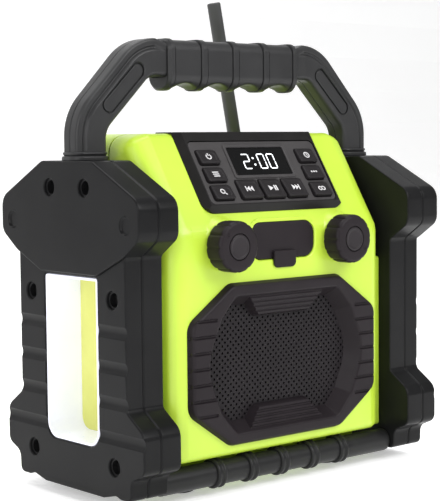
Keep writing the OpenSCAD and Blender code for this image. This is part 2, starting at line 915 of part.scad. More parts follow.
module handle_sweep() {
    m = len(half_section(leg_a, leg_b));
    n = len(handle_path);
    function at(i, j) = i * m + j % m;
    points = [
        for (i = [0:n - 1])
            let (p = handle_path[i], t = path_turn(i), out = [-t[1], t[0]])
            for (q = half_section(half_a(p), half_b(p))) [p[0] + out[0] * q[0], -q[1], p[1] + out[1] * q[0]]
    ];
    polyhedron(
        points = points,
        faces = concat(
            [[for (j = [0:m - 1]) j]],
            [[for (j = [m - 1:-1:0]) (n - 1) * m + j]],
            [for (i = [0:n - 2], j = [0:m - 1]) [at(i, j), at(i + 1, j), at(i, j + 1)]],
            [for (i = [0:n - 2], j = [0:m - 1]) [at(i + 1, j), at(i + 1, j + 1), at(i, j + 1)]]
        )
    );
}

// Shallow round-ended panel in the front of each arm
module arm_panels() {
    mid = [(guard_mid + bend_x) / 2, (bend_z + arm_z) / 2];
    span = arm_panel_l - arm_panel_w;
    floor_y = -arm_d / 2 + arm_panel_depth;
    for (side = [-1, 1])
        on_side(side)
            translate([mid[0], 0, mid[1]])
                rotate([0, arm_deg, 0])
                    translate([-arm_panel_up, 0, -arm_panel_in]) {
                        for (end = [-1, 1]) rod_y(end * span / 2, 0, arm_panel_w / 2, -arm_d, floor_y);
                        translate([-span / 2, -arm_d, -arm_panel_w / 2])
                            cube([span, arm_d + floor_y, arm_panel_w]);
                    }
}

module handle_half() {
    under = guard_top - guard_wall - fit;
    difference() {
        union() {
            handle_sweep();
            for (side = [-1, 1]) {
                translate([side * guard_mid - tenon_a, -tenon_b, guard_top - tenon_l])
                    cube([2 * tenon_a, tenon_b, tenon_l + 1]);
                translate([side * guard_mid - tenon_a, -flange_b, guard_top - tenon_l])
                    cube([2 * tenon_a, flange_b, under - guard_top + tenon_l]);
            }
        }
        arm_panels();
    }
}

module handle_front() { color(black) handle_half(); }
module handle_rear() { color(black) mirror([0, 1, 0]) handle_half(); }

module grip_section(grow) {
    side = grip_d / 2 + grow;
    end = grip_h / 2 + grow;
    outline([
        [-side, grip_z - end, grip_under * side], [side, grip_z - end, grip_under * side],
        [side, grip_z + end, grip_top_r], [-side, grip_z + end, grip_top_r],
    ]);
}

module handle_grip() {
    bands = floor(grip_end / finger_pitch);
    band_half = min(band_w / 2, grip_end - fit - bands * finger_pitch);
    color(black)
    difference() {
        union() {
            along_x(-grip_end + fit, grip_end - fit) grip_section(-band_rise);
            for (k = [-bands:bands])
                translate([k * finger_pitch, 0, 0]) along_x(-band_half, band_half) grip_section(0);
        }
        along_x(-grip_end - 1, grip_end + 1)
            outline(rect(2 * (core_b + fit), 2 * (core_a + fit), section_r, 0, arm_z));
        for (k = [-bands:bands - 1])
            translate([(k + 0.5) * finger_pitch, 0, grip_z - grip_h / 2 + finger_depth - finger_r])
                rod_y(0, 0, finger_r, -grip_d, grip_d);
    }
}

module handle_collars() {
    color(black)
    for (side = [-1, 1])
        translate([side * guard_mid, 0, guard_top])
            linear_extrude(collar_h)
                difference() {
                    outline(rect(2 * (leg_a + collar_t), 2 * (leg_b + collar_t), section_r + collar_t));
                    outline(rect(2 * (leg_a + fit), 2 * (leg_b + fit), section_r));
                }
}

// Lower bars with pairs of rings
module roll_bar() {
    spigot_end = guard_in + guard_wall - fit;
    last = (bar_rings - 1) / 2;
    color(black)
    rotate([0, 90, 0])
    difference() {
        union() {
            translate([0, 0, -guard_in]) cylinder(r = bar_r, h = 2 * guard_in);
            translate([0, 0, -spigot_end]) cylinder(r = spigot_r, h = 2 * spigot_end);
            for (k = [-last:last]) translate([0, 0, k * finger_pitch]) {
                translate([0, 0, -ring_split / 2]) cylinder(r = bar_r + collar_rise, h = ring_split);
                for (half = [-1, 1])
                    translate([0, 0, half * ring_split / 2 - ring_w / 2]) cylinder(r = ring_r, h = ring_w);
            }
        }
        translate([0, 0, -guard_out]) cylinder(r = bar_bore, h = 2 * guard_out);
    }
}

module front_roll_bar() { translate([0, -bar_y, bar_z]) roll_bar(); }
module rear_roll_bar() { translate([0, bar_y, bar_z]) roll_bar(); }

module feet() {
    color(rubber)
    for (x = [-1, 1], y = [-1, 1])
        translate([x * foot_x, y * foot_y, 0]) {
            cylinder(r1 = foot_r - foot_chamfer, r2 = foot_r, h = foot_chamfer_h);
            translate([0, 0, foot_chamfer_h]) {
                cylinder(r = foot_r, h = body_bottom - foot_chamfer_h);
                cylinder(r = foot_stub_r, h = body_bottom - foot_chamfer_h + wall - fit);
            }
        }
}

// Control panel
function slope(s, w) = [
    -body_front + (panel_start + s) * slant_sin - w * slant_cos,
    slant_z + (panel_start + s) * slant_cos + w * slant_sin,
];
bezel_knee = slope_top + (lip_rise - bezel_h * slant_sin) / slant_cos;

module control_bezel() {
    back = slope(slope_top, 0)[0] + lip_l;
    half = bezel_w / 2;
    color(black)
    difference() {
        intersection() {
            along_x(-half, half)
                polygon([
                    slope(0, 0), slope(slope_top, 0), [back, body_top],
                    [back, body_top + lip_rise], slope(bezel_knee, bezel_h), slope(0, bezel_h),
                ]);
            on_panel()
                translate([0, 0, -overall_w])
                    linear_extrude(2 * overall_w)
                        outline([[half, 0, 8], [half, overall_w, 1], [-half, overall_w, 1], [-half, 0, 8]]);
        }
        on_panel() {
            for (side = [-1, 1])
                on_side(side)
                    translate([half - bezel_side, -1, bezel_h])
                        rotate([0, atan2(bezel_h - bezel_edge, bezel_side), 0])
                            cube([2 * bezel_side, overall_w, 2 * bezel_h]);
            translate([-half - 1, 0, bezel_edge])
                rotate([atan2(bezel_h - bezel_edge, plate_s - 0.6), 0, 0])
                    cube([bezel_w + 2, 3 * plate_s, 2 * bezel_h]);
            translate([-open_x, open_s0, -1]) cube([2 * open_x, open_s1 - open_s0, bezel_floor + 1.01]);
            translate([0, 0, bezel_floor]) linear_extrude(overall_w) outline(inset(plate_outline, -fit));
        }
    }
}

plate_outline = rect(plate_w, plate_l, 4, 0, plate_s + plate_l / 2);

module control_plate() {
    frame_w = lens_w + 2 * lens_frame;
    frame_h = lens_h + 2 * lens_frame;
    color(plum)
    on_panel()
    difference() {
        union() {
            translate([0, 0, bezel_floor]) linear_extrude(plate_t) outline(plate_outline);
            translate([0, 0, bezel_floor])
                linear_extrude(plate_t + lens_frame_h) outline(rect(frame_w, frame_h, 2, 0, lens_s));
            for (x = [-1, 1], s = [key_row_s - 3, key_row_s + 2 * key_pitch])
                translate([x * post_x, s, board_w_pos])
                    cylinder(r = post_r, h = bezel_floor - board_w_pos + 0.5);
        }
        translate([0, 0, bezel_floor - 1])
            linear_extrude(plate_t + 4) {
                outline(rect(lens_w + 2 * fit, lens_h + 2 * fit, 1, 0, lens_s));
                for (k = KEYS) outline(inset(rect(k[3], k[4], key_r, k[1], k[2]), -slide_gap));
            }
    }
}

module display_lens() {
    color([0.08, 0.08, 0.10])
    on_panel()
        translate([0, 0, lens_w_pos])
            linear_extrude(lens_t) outline(rect(lens_w, lens_h, 1, 0, lens_s));
}

module display_module() {
    color([0.12, 0.12, 0.14])
    on_panel()
        translate([-lens_w / 2 + 0.5, lens_s - lens_h / 2 + 0.5, board_w_pos])
            cube([lens_w - 1, lens_h - 1, lens_w_pos - board_w_pos]);
}

module key(i) {
    k = KEYS[i];
    color(plum)
    on_panel() linear_extrude(plate_top + key_rise) outline(rect(k[3], k[4], key_r, k[1], k[2]));
}

module power_key() { key(0); }
module mode_key() { key(1); }
module scan_key() { key(2); }
module previous_key() { key(3); }
module play_key() { key(4); }
module next_key() { key(5); }
module clock_key() { key(6); }
module preset_key() { key(7); }
module pair_key() { key(8); }

module button_board() {
    color(board_green)
    on_panel()
        translate([-open_x + fit, open_s0, board_w_pos - pcb_t])
            cube([2 * (open_x - fit), open_s1 - open_s0, pcb_t]);
}

module tact_switches() {
    color(steel)
    on_panel()
    for (k = KEYS) {
        top = -key_travel - switch_gap;
        translate([k[1] - switch_side / 2, k[2] - switch_side / 2, board_w_pos])
            cube([switch_side, switch_side, top - 1 - board_w_pos]);
        translate([k[1], k[2], board_w_pos + 1]) cylinder(r = plunger_r, h = top - board_w_pos - 1);
    }
}

// Knobs, their encoders and nuts
module knob() {
    color(plum)
    difference() {
        union() {
            rod_y(0, 0, knob_r, -knob_front + knob_edge, -knob_back);
            translate([0, -knob_front + knob_edge, 0])
                rotate([90, 0, 0]) cylinder(r1 = knob_r, r2 = knob_r - knob_edge, h = knob_edge);
        }
        for (k = [0:knob_flutes - 1])
            rotate([0, k * 360 / knob_flutes, 0])
                rod_y(knob_r + 0.5, 0, flute_r, -knob_front - 1, -knob_back - 2.5);
        rod_y(0, 0, knob_cap_r + fit, -knob_front - 1, -knob_front + cap_seat);
        rod_y(0, 0, knob_hollow_r, -knob_back - knob_hollow_l, -knob_back + 1);
        rod_y(0, 0, shaft_r + run_gap, -shaft_front - fit, -knob_back);
    }
}

module knob_cap() {
    color([0.45, 0.44, 0.45])
    rod_y(0, 0, knob_cap_r, -knob_front - cap_t + cap_seat, -knob_front + cap_seat);
}

module encoder_shaft() { color(steel) rod_y(0, 0, shaft_r, -shaft_front, -shaft_back); }

module encoder() {
    front = -body_front + boss_back;
    color(steel)
    difference() {
        union() {
            translate([-encoder_side / 2, front, -encoder_side / 2])
                cube([encoder_side, encoder_l, encoder_side]);
            rod_y(0, 0, bush_r, -boss_face - bush_out, front + 1);
        }
        rod_y(0, 0, shaft_r + run_gap, -boss_face - bush_out - 1, -shaft_back + fit);
    }
}

module at_knob(side) { translate([side * knob_x, 0, knob_z]) children(); }

module volume_knob() { at_knob(-1) knob(); }
module volume_knob_cap() { at_knob(-1) knob_cap(); }
module volume_shaft() { at_knob(-1) encoder_shaft(); }
module volume_encoder() { at_knob(-1) encoder(); }
module tuning_knob() { at_knob(1) knob(); }
module tuning_knob_cap() { at_knob(1) knob_cap(); }
module tuning_shaft() { at_knob(1) encoder_shaft(); }
module tuning_encoder() { at_knob(1) encoder(); }

module encoder_nuts() {
    color(steel)
    for (side = [-1, 1])
        at_knob(side)
            translate([0, -boss_face - nut_t, 0]) rotate([-90, 0, 0])
                difference() {
                    cylinder(r = nut_r, h = nut_t, $fn = 6);
                    translate([0, 0, -1]) cylinder(r = bush_r + fit, h = nut_t + 2);
                }
}

// Ports behind the rubber door
door_outline = rect(door_w, door_h, door_r, 0, port_z);

module port_door() {
    bottom = door_top - door_h;
    tab_back = body_front + slide_gap;
    root_z = bottom + (tab_root + slide_gap) / 2;
    color(rubber)
    difference() {
        union() {
            along_y(-door_back - door_t, -door_back) outline(door_outline);
            along_y(-tab_back - tab_t, -tab_back)
                outline(rect(tab_w, tab_l + tab_root, tab_r, 0, bottom + (tab_root - tab_l) / 2));
            along_y(-tab_back - tab_t, -door_back)
                outline(rect(tab_w, tab_root - slide_gap, tab_r / 2, 0, root_z));
            along_y(-door_back - 0.5, -door_back + plug_l)
                outline(rect(port_w - 2 * plug_gap, port_h - 2 * plug_gap, 4, 0, port_z));
        }
        along_y(-door_back + 0.6, -door_back + plug_l + 1)
            outline(rect(port_w - 2 * plug_gap - 3, port_h - 2 * plug_gap - 3, 3, 0, port_z));
    }
}

module port_panel() {
    color(black)
    difference() {
        along_y(port_floor, port_floor + panel_t) outline(rect(port_w + 6, port_h + 5, 3, 0, port_z));
        along_y(port_floor - 1, port_floor + panel_t + 1)
            outline(rect(usb_w + 2 * fit, usb_h + 2 * fit, 0.6, usb_x, port_z));
        rod_y(jack_x, port_z, jack_nose_r + fit, port_floor - 1, port_floor + panel_t + 1);
    }
}

module usb_socket() {
    color(steel)
    difference() {
        along_y(port_floor - 0.5, port_floor + socket_l) outline(rect(usb_w, usb_h, 0.6, usb_x, port_z));
        along_y(port_floor - 1, port_floor + socket_l - 1)
            outline(rect(usb_w - 2 * usb_skin, usb_h - 2 * usb_skin, 0.3, usb_x, port_z));
    }
}

module aux_jack() {
    color(black)
    difference() {
        union() {
            rod_y(jack_x, port_z, jack_nose_r, port_floor - 0.5, port_floor + panel_t + 0.5);
            translate([jack_x - jack_side / 2, port_floor + panel_t, port_z - jack_side / 2])
                cube([jack_side, socket_l, jack_side]);
        }
        rod_y(jack_x, port_z, jack_r + run_gap, port_floor - 1, port_floor + socket_l);
    }
}

// Grille and loudspeaker
grille_outline = [for (p = mirrored([
    [grille_flat / 2, -grille_h / 2, grille_corner], [grille_w / 2, -grille_side / 2, grille_corner],
    [grille_w / 2, grille_side / 2, grille_corner], [grille_flat / 2, grille_h / 2, grille_corner],
])) [p[0], p[1] + grille_z, p[2]]];

// Opening of the frame, with bulging sides
mouth_outline = [for (p = mirrored([
    [mouth_flat, grille_rim - grille_h / 2, 6], [grille_w / 2 - mouth_corner[0], -mouth_corner[1], 8],
    [grille_w / 2 - side_rim + mouth_bulge, 0, mouth_r],
    [grille_w / 2 - mouth_corner[0], mouth_corner[1], 8], [mouth_flat, grille_h / 2 - grille_rim, 6],
])) [p[0], p[1] + grille_z, p[2]]];

module at_speaker_bolts() {
    for (x = [-1, 1], z = [-1, 1])
        translate([x * speaker_bolt[0], 0, grille_z + z * speaker_bolt[1]]) children();
}

module grille_ribs() {
    last = (rib_count - 1) / 2;
    for (side = [-1, 1], k = [-last:last])
        on_side(side)
            translate([grille_w / 2, -grille_front - 1, grille_z + k * grille_rib_pitch]) {
                translate([-side_rim - 4, 0, -grille_rib_h / 2])
                    cube([side_rim + 5, 1 + grille_rib_depth, grille_rib_h]);
                translate([-notch_d, 0, -notch_h / 2]) cube([notch_d + 1, grille_rise, notch_h]);
            }
}

// Sloping ledge between the rim and the perforated sheet, above or below
module grille_ledge(up) {
    edge = grille_z + up * (grille_h / 2 - grille_rim);
    foot = grille_z + up * (grille_h / 2 - grille_rim - ledge_drop);
    thin = 0.2;
    hull() {
        translate([-ledge_front_l / 2, -grille_front + 1, edge - thin / 2])
            cube([ledge_front_l, sheet_depth - 1, thin]);
        translate([-ledge_back_l / 2, sheet_y - ledge_stand, foot - thin / 2])
            cube([ledge_back_l, ledge_stand, thin]);
    }
}

module grille_frame() {
    front = rounded(inset(grille_outline, rim_taper));
    slack = rim_slope / sheet_depth;
    mouth = rounded(inset(mouth_outline, -slack));
    throat = rounded(inset(mouth_outline, rim_slope + slack));
    color(plum)
    difference() {
        union() {
            difference() {
                union() {
                    loft_y(front, -grille_front, rounded(grille_outline), -body_front);
                    along_y(-body_front - 0.5, sheet_y) outline(inset(grille_outline, grille_lip));
                }
                loft_y(mouth, -grille_front - 1, throat, sheet_y + 1);
            }
            for (up = [-1, 1]) grille_ledge(up);
        }
        grille_ribs();
        at_speaker_bolts() rod_y(0, 0, speaker_bolt_r + run_gap, sheet_y - speaker_grip - 0.5, sheet_y + 1);
    }
}

module grille_plate() {
    edge = rim_slope + 1;
    reach = [grille_w / 2 - side_rim - edge, grille_h / 2 - grille_rim - edge - 2];
    cols = floor(reach[0] / hole_pitch);
    rows = floor(reach[1] / (hole_pitch / 2));
    color([0.16, 0.15, 0.16])
    difference() {
        along_y(sheet_y, sheet_y + sheet_t)
        difference() {
            outline(inset(grille_outline, grille_lip + fit));
            for (j = [-rows:rows], i = [-cols:cols]) {
                x = (i + (j % 2 == 0 ? 0 : 0.5)) * hole_pitch;
                z = j * hole_pitch / 2;
                if (norm([x / reach[0], z / reach[1]]) < 1)
                    translate([x, grille_z + z]) circle(hole_r, $fn = 24);
            }
        }
        at_speaker_bolts() rod_y(0, 0, speaker_bolt_r + bolt_clear, sheet_y - 1, sheet_y + sheet_t + 1);
    }
}

// Turned shape about the loudspeaker axis, drawn as [radius, y]
module turned() { translate([0, 0, grille_z]) rotate([-90, 0, 0]) rotate_extrude() children(); }

module speaker_basket() {
    back = flange_y + basket_l;
    skin = 1.6;
    lip_r = basket_r - 4.5;
    hub_r = coil_r + slide_gap;
    color(steel)
    difference() {
        union() {
            along_y(flange_y, flange_y + flange_t) outline(rect(flange_w, flange_h, 12, 0, grille_z));
            turned()
                polygon([
                    [basket_r, flange_y], [basket_r, seat_y + 2], [magnet_r + 2, back], [hub_r, back],
                    [hub_r, back - skin], [magnet_r, back - skin], [basket_r - 2, seat_y + 2],
                    [cone_r + roll_r, seat_y + 1], [cone_r + roll_r, seat_y],
                    [lip_r, seat_y], [lip_r, flange_y],
                ]);
        }
        rod_y(0, grille_z, lip_r, flange_y - 1, seat_y);
        at_speaker_bolts() rod_y(0, 0, speaker_bolt_r + bolt_clear, flange_y - 1, flange_y + flange_t + 1);
    }
}

module speaker_surround() {
    color(rubber)
    turned()
    translate([cone_r + slide_gap + roll_r, seat_y])
    difference() {
        circle(roll_r);
        circle(roll_r - 0.8);
        translate([-2 * roll_r, 0]) square([4 * roll_r, 2 * roll_r]);
    }
}

module speaker_cone() {
    apex = seat_y + 13;
    paper = 0.8;
    dome = 4;
    coil_end = flange_y + basket_l + magnet_l - magnet_floor - 2 * cone_travel;
    color([0.25, 0.24, 0.24])
    turned()
    polygon([
        [cone_r, seat_y], [cone_r, seat_y + paper], [coil_r, apex + paper], [coil_r, coil_end],
        [coil_r - coil_t, coil_end], [coil_r - coil_t, apex],
        [0, apex - dome], [0, apex - dome - paper], [coil_r - 1, apex - 1],
    ]);
}

module speaker_magnet() {
    front = flange_y + basket_l;
    back = front + magnet_l;
    gap = 0.5;
    pole_r = coil_r - coil_t - gap;
    slot_r = coil_r + gap;
    color([0.35, 0.35, 0.37])
    turned()
    polygon([
        [0, front], [pole_r, front], [pole_r, back - magnet_floor], [slot_r, back - magnet_floor],
        [slot_r, front], [magnet_r, front], [magnet_r, back], [0, back],
    ]);
}

module speaker_screws() {
    head = flange_y + flange_t;
    color(steel)
    at_speaker_bolts() {
        rod_y(0, 0, speaker_head_r, head, head + flange_t);
        rod_y(0, 0, speaker_bolt_r, sheet_y - speaker_grip, head);
    }
}

// Lamp in the left guard
module lamp_reflector() {
    color([0.95, 0.95, 0.95])
    on_side(-1)
    difference() {
        along_x(tray_base, tray_end) outline(inset(window_outline, fit));
        along_x(tray_base + tray_t, tray_end + 1) outline(inset(window_outline, fit + tray_t));
    }
}

module lamp_cob() {
    color([0.90, 0.90, 0.50])
    on_side(-1)
        along_x(tray_base + tray_t, tray_base + tray_t + cob_t)
            outline(inset(window_outline, 2 * fit + tray_t));
}

// Electronics
module main_board() {
    color(board_green)
    along_y(board_y, board_y + pcb_t) outline(rect(board_w, board_h, 2, 0, board_z));
}

module battery_pack() {
    seat = wall + slide_gap + cell_r;
    color([0.20, 0.35, 0.60])
    for (row = [0, 1])
        rod_x(body_back - seat - row * 2 * cell_r, body_bottom + seat, cell_r, -pack_l / 2, pack_l / 2);
}

module charge_socket() {
    color(steel)
    translate([charge_x, 0, charge_z])
    difference() {
        along_y(body_back - wall - 5, body_back - 0.5) outline(rect(charge_w, charge_h, 1.4));
        along_y(body_back - wall - 4, body_back) outline(rect(charge_w - 1, charge_h - 1, 1));
    }
}

module charge_cover() {
    color(rubber)
    translate([charge_x, 0, charge_z])
        along_y(body_back + slide_gap, body_back + slide_gap + cover_t) outline(rect(cover_w, cover_h, 4));
}

// Folding aerial
module at_aerial() { translate([aerial_x, aerial_y, aerial_z]) rotate([0, -aerial_deg, 0]) children(); }

knuckle_front = aerial_seat + slide_gap;
knuckle_back = aerial_y + aerial_r;

module aerial_knuckle() {
    color(rubber)
    difference() {
        union() {
            rod_y(aerial_x, aerial_z, knuckle_r, knuckle_front, knuckle_back);
            at_aerial() cylinder(r = aerial_r, h = knuckle_l);
        }
        rod_y(aerial_x, aerial_z, pivot_r + run_gap, knuckle_front - 1, knuckle_back + 1);
    }
}

module aerial_whip() {
    color(rubber)
    at_aerial() {
        translate([0, 0, knuckle_l]) cylinder(r = aerial_r, h = aerial_l - knuckle_l - tip_edge);
        translate([0, 0, aerial_l - tip_edge])
            cylinder(r1 = aerial_r, r2 = aerial_r - tip_edge, h = tip_edge);
    }
}

module aerial_screw() {
    head = knuckle_back + slide_gap;
    color(steel) {
        rod_y(aerial_x, aerial_z, pivot_r, boss_root, head);
        rod_y(aerial_x, aerial_z, pivot_r + pivot_head, head, head + pivot_head_l);
    }
}

front_shell();
rear_shell();
shell_gasket();
left_guard_outer();
left_guard_inner();
right_guard_outer();
right_guard_inner();
guard_screws();
case_screws();
handle_front();
handle_rear();
handle_grip();
handle_collars();
front_roll_bar();
rear_roll_bar();
feet();
control_bezel();
control_plate();
display_lens();
display_module();
power_key();
mode_key();
scan_key();
previous_key();
play_key();
next_key();
clock_key();
preset_key();
pair_key();
button_board();
tact_switches();
volume_knob();
volume_knob_cap();
volume_shaft();
volume_encoder();
tuning_knob();
tuning_knob_cap();
tuning_shaft();
tuning_encoder();
encoder_nuts();
port_door();
port_panel();
usb_socket();
aux_jack();
grille_frame();
grille_plate();
speaker_basket();
speaker_surround();
speaker_cone();
speaker_magnet();
speaker_screws();
lamp_reflector();
lamp_cob();
main_board();
battery_pack();
charge_socket();
charge_cover();
aerial_knuckle();
aerial_whip();
aerial_screw();
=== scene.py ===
"""Looks of a portable job-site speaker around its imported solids. Sizes below are in millimetres."""

import math

import bmesh
import bpy
from mathutils import Matrix, Vector


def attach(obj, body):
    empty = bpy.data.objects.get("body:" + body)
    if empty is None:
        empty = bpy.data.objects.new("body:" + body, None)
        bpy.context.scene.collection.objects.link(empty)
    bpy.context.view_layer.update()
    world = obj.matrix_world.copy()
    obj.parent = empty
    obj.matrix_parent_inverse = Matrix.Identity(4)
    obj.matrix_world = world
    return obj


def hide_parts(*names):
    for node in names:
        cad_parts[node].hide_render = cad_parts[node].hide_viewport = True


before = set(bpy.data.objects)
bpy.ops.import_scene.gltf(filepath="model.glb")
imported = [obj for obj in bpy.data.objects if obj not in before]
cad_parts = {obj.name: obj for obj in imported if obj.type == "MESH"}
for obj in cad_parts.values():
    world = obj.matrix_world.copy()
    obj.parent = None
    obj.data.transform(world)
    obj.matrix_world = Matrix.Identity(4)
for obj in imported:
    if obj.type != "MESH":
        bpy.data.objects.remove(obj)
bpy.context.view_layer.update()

MM = 0.001
TINY_R = 0.05
EDGE_STEPS = 4
SLAB = (140, 100, 300)

# Body
HALF_W = 90
FRONT = 54
BACK = 54
BOTTOM = 23
TOP = 218.036
SLANT_Z = 160
SLANT = math.radians(33)
SIN = math.sin(SLANT)
COS = math.cos(SLANT)
WALL = 3
CORNER_R = 13
SPLIT = (3.4, 4.6)
BOSS_FACE = 54.6

# Guards
GUARD_IN = 96
GUARD_MID = 110.5
GUARD_FACE = 123
GUARD_OUT = 125
GUARD_TOP = 202.436
GUARD_BOTTOM = 6.5
COLUMN_Y = 54
SHOULDER_Y = 70
WINDOW = (26.7, 34.7, 134.5)

# Handle
GRIP_Z = 260.236
GRIP_HALF = 16.2
FINGER_DEPTH = 5
FINGER_R = 14
ARM_Z = 263.036
GRIP_END = 54.468
BEND_Z = 225.536
BEND_X = 71.668
BEND_R = 24
FINGER_PITCH = 26

# Front fittings
KNOB_X = 48.4
BOSS_R = 14.6
KNOB_Z = 150.8
PORT_Z = 152.1
GRILLE_Z = 78.9
SHEET_Y = 48.5
PANEL_START = 11.6
BUSH_R = 4.7
PLUG = (46, 15.5, 4)


def outline_inset(corners, d):
    """Corners (u, v, radius) of an anticlockwise outline, moved in by d."""
    out = []
    for i, (u, v, r) in enumerate(corners):
        p = Vector((u, v))
        a = Vector(corners[i - 1][:2])
        b = Vector(corners[(i + 1) % len(corners)][:2])
        e1 = (p - a).normalized()
        e2 = (b - p).normalized()
        n1 = Vector((-e1.y, e1.x))
        n2 = Vector((-e2.y, e2.x))
        q = p + (n1 + n2) * (d / (1 + n1.dot(n2)))
        turn = e1.x * e2.y - e1.y * e2.x
        out.append((q.x, q.y, max(r - d if turn > 0 else r + d, TINY_R)))
    return out


def corner_arc(p, a, b, half, reach, steps):
    """Arc of steps + 1 points at corner p, from reach along a to reach along b, twice half apart."""
    middle = p + (a + b).normalized() * (reach * math.tan(half) / math.sin(half))
    start = p + a * reach - middle
    end = p + b * reach - middle
    swing = math.atan2(start.x * end.y - start.y * end.x, start.dot(end))
    out = []
    for k in range(steps + 1):
        c = math.cos(swing * k / steps)
        s = math.sin(swing * k / steps)
        out.append((middle.x + start.x * c - start.y * s, middle.y + start.x * s + start.y * c))
    return out


def rounded(corners, steps=6):
    """Points of an outline whose corners (u, v, radius) are arcs of steps + 1 points."""
    out = []
    for i, (u, v, r) in enumerate(corners):
        p = Vector((u, v))
        a = Vector(corners[i - 1][:2]) - p
        b = Vector(corners[(i + 1) % len(corners)][:2]) - p
        half = a.angle(b) / 2
        room = 0.49 * min(a.length, b.length)
        reach = min(max(r, TINY_R) / math.tan(half), room)
        out += corner_arc(p, a.normalized(), b.normalized(), half, reach, steps)
    return out


def mirrored(half):
    return half + [(-u, v, r) for u, v, r in reversed(half)]


def box_outline(w, h, r, u=0, v=0):
    return [(u + w / 2, v - h / 2, r), (u + w / 2, v + h / 2, r),
            (u - w / 2, v + h / 2, r), (u - w / 2, v - h / 2, r)]


def edge(w, r, base=0):
    """Levels (w, inset) of an outward edge rounded with radius r that ends at height w."""
    out = []
    for k in range(EDGE_STEPS + 1):
        t = math.pi / 2 * k / EDGE_STEPS
        out.append((w - r + r * math.sin(t), base + r * (1 - math.cos(t))))
    return out


def edge_back(w, r):
    """The same edge at the near end, where the solid starts at height w."""
    return [(2 * w - x, d) for x, d in reversed(edge(w, r))]


def on_x(side):
    return lambda u, v, w: (side * w, u, v)


def on_y(u, v, w):
    return (u, -w, v)


def on_back(u, v, w):
    return (u, w, v)


def on_z(u, v, w):
    return (u, v, w)


def on_panel(u, s, w):
    run = PANEL_START + s
    return (u, -FRONT + run * SIN - w * COS, SLANT_Z + run * COS + w * SIN)


def mesh_from(bm, name):
    bmesh.ops.recalc_face_normals(bm, faces=bm.faces)
    mesh = bpy.data.meshes.new(name)
    bm.to_mesh(mesh)
    bm.free()
    obj = bpy.data.objects.new(name, mesh)
    bpy.context.scene.collection.objects.link(obj)
    return obj


def vert(bm, p):
    return bm.verts.new([c * MM for c in p])


def solid(name, rings):
    """Closed skin over rings of equal length, with a face at each end."""
    bm = bmesh.new()
    rows = [[vert(bm, p) for p in ring] for ring in rings]
    count = len(rows[0])
    for a, b in zip(rows, rows[1:]):
        for i in range(count):
            j = (i + 1) % count
            bm.faces.new((a[i], a[j], b[j], b[i]))
    bm.faces.new(rows[0])
    bm.faces.new(list(reversed(rows[-1])))
    return mesh_from(bm, name)


def plate(name, corners, levels, place, steps=6):
    """A plate whose outline is moved in by d at each level (w, d)."""
    rings = [[place(u, v, w) for u, v in rounded(outline_inset(corners, d), steps)] for w, d in levels]
    return solid(name, rings)


def prism(name, corners, low, high, place):
    return plate(name, corners, [(low, 0), (high, 0)], place)


def turned(name, profile, place, segments=48):
    """A turned shape: profile (t, radius) along an axis; place maps (across, up, t)."""
    turns = [2 * math.pi * k / segments for k in range(segments)]
    return solid(name, [[place(r * math.cos(a), r * math.sin(a), t) for a in turns] for t, r in profile])


def moved(place, du, dv):
    return lambda u, v, w: place(u + du, v + dv, w)


def slab(name, y0, y1):
    """A block wider and taller than the body, from depth y0 to y1."""
    corners = ((-SLAB[0], y0), (SLAB[0], y0), (SLAB[0], y1), (-SLAB[0], y1))
    return solid(name, [[(x, y, z) for x, y in corners] for z in (0, SLAB[2])])


def take_modifiers(obj):
    bpy.context.view_layer.update()
    shown = obj.evaluated_get(bpy.context.evaluated_depsgraph_get())
    mesh = bpy.data.meshes.new_from_object(shown)
    obj.modifiers.clear()
    obj.data = mesh


def combine(obj, others, operation):
    for other in others:
        m = obj.modifiers.new("combine", "BOOLEAN")
        m.operation = operation
        m.solver = "MANIFOLD"
        m.object = other
    take_modifiers(obj)
    for other in others:
        bpy.data.objects.remove(other)
    return obj


def cut(obj, *others):
    return combine(obj, others, "DIFFERENCE")


def unite(obj, *others):
    return combine(obj, others, "UNION")


def overlap(obj, *others):
    return combine(obj, others, "INTERSECT")


def join(name, objects):
    bm = bmesh.new()
    for o in objects:
        bm.from_mesh(o.data)
        bpy.data.objects.remove(o)
    return mesh_from(bm, name)


def soften(obj, width, angle=30):
    m = obj.modifiers.new("edges", "BEVEL")
    m.limit_method = "ANGLE"
    m.angle_limit = math.radians(angle)
    m.width = width * MM
    m.segments = 2
    m.miter_outer = "MITER_ARC"
    return obj


def dress(obj, material, body, nodes=(), sharp=40):
    """Shades a piece, gives it its material and ties it to its CAD body and nodes."""
    if obj.modifiers:
        take_modifiers(obj)
    mesh = obj.data
    mesh.materials.clear()
    mesh.materials.append(material)
    mesh.polygons.foreach_set("use_smooth", [True] * len(mesh.polygons))
    mesh.polygons.foreach_set("material_index", [0] * len(mesh.polygons))
    mesh.set_sharp_from_angle(angle=math.radians(sharp))
    weigh = obj.modifiers.new("weigh", "WEIGHTED_NORMAL")
    weigh.keep_sharp = True
    weigh.mode = "FACE_AREA_WITH_ANGLE"
    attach(obj, body)
    if nodes:
        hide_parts(*nodes)


def node_copy(node, name):
    """A copy of a CAD node's mesh with its coplanar triangles merged, ready for softer edges."""
    bm = bmesh.new()
    bm.from_mesh(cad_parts[node].data)
    bmesh.ops.remove_doubles(bm, verts=bm.verts, dist=0.002 * MM)
    bmesh.ops.dissolve_limit(bm, angle_limit=math.radians(0.8), verts=bm.verts, edges=bm.edges)
    return mesh_from(bm, name)


# Materials

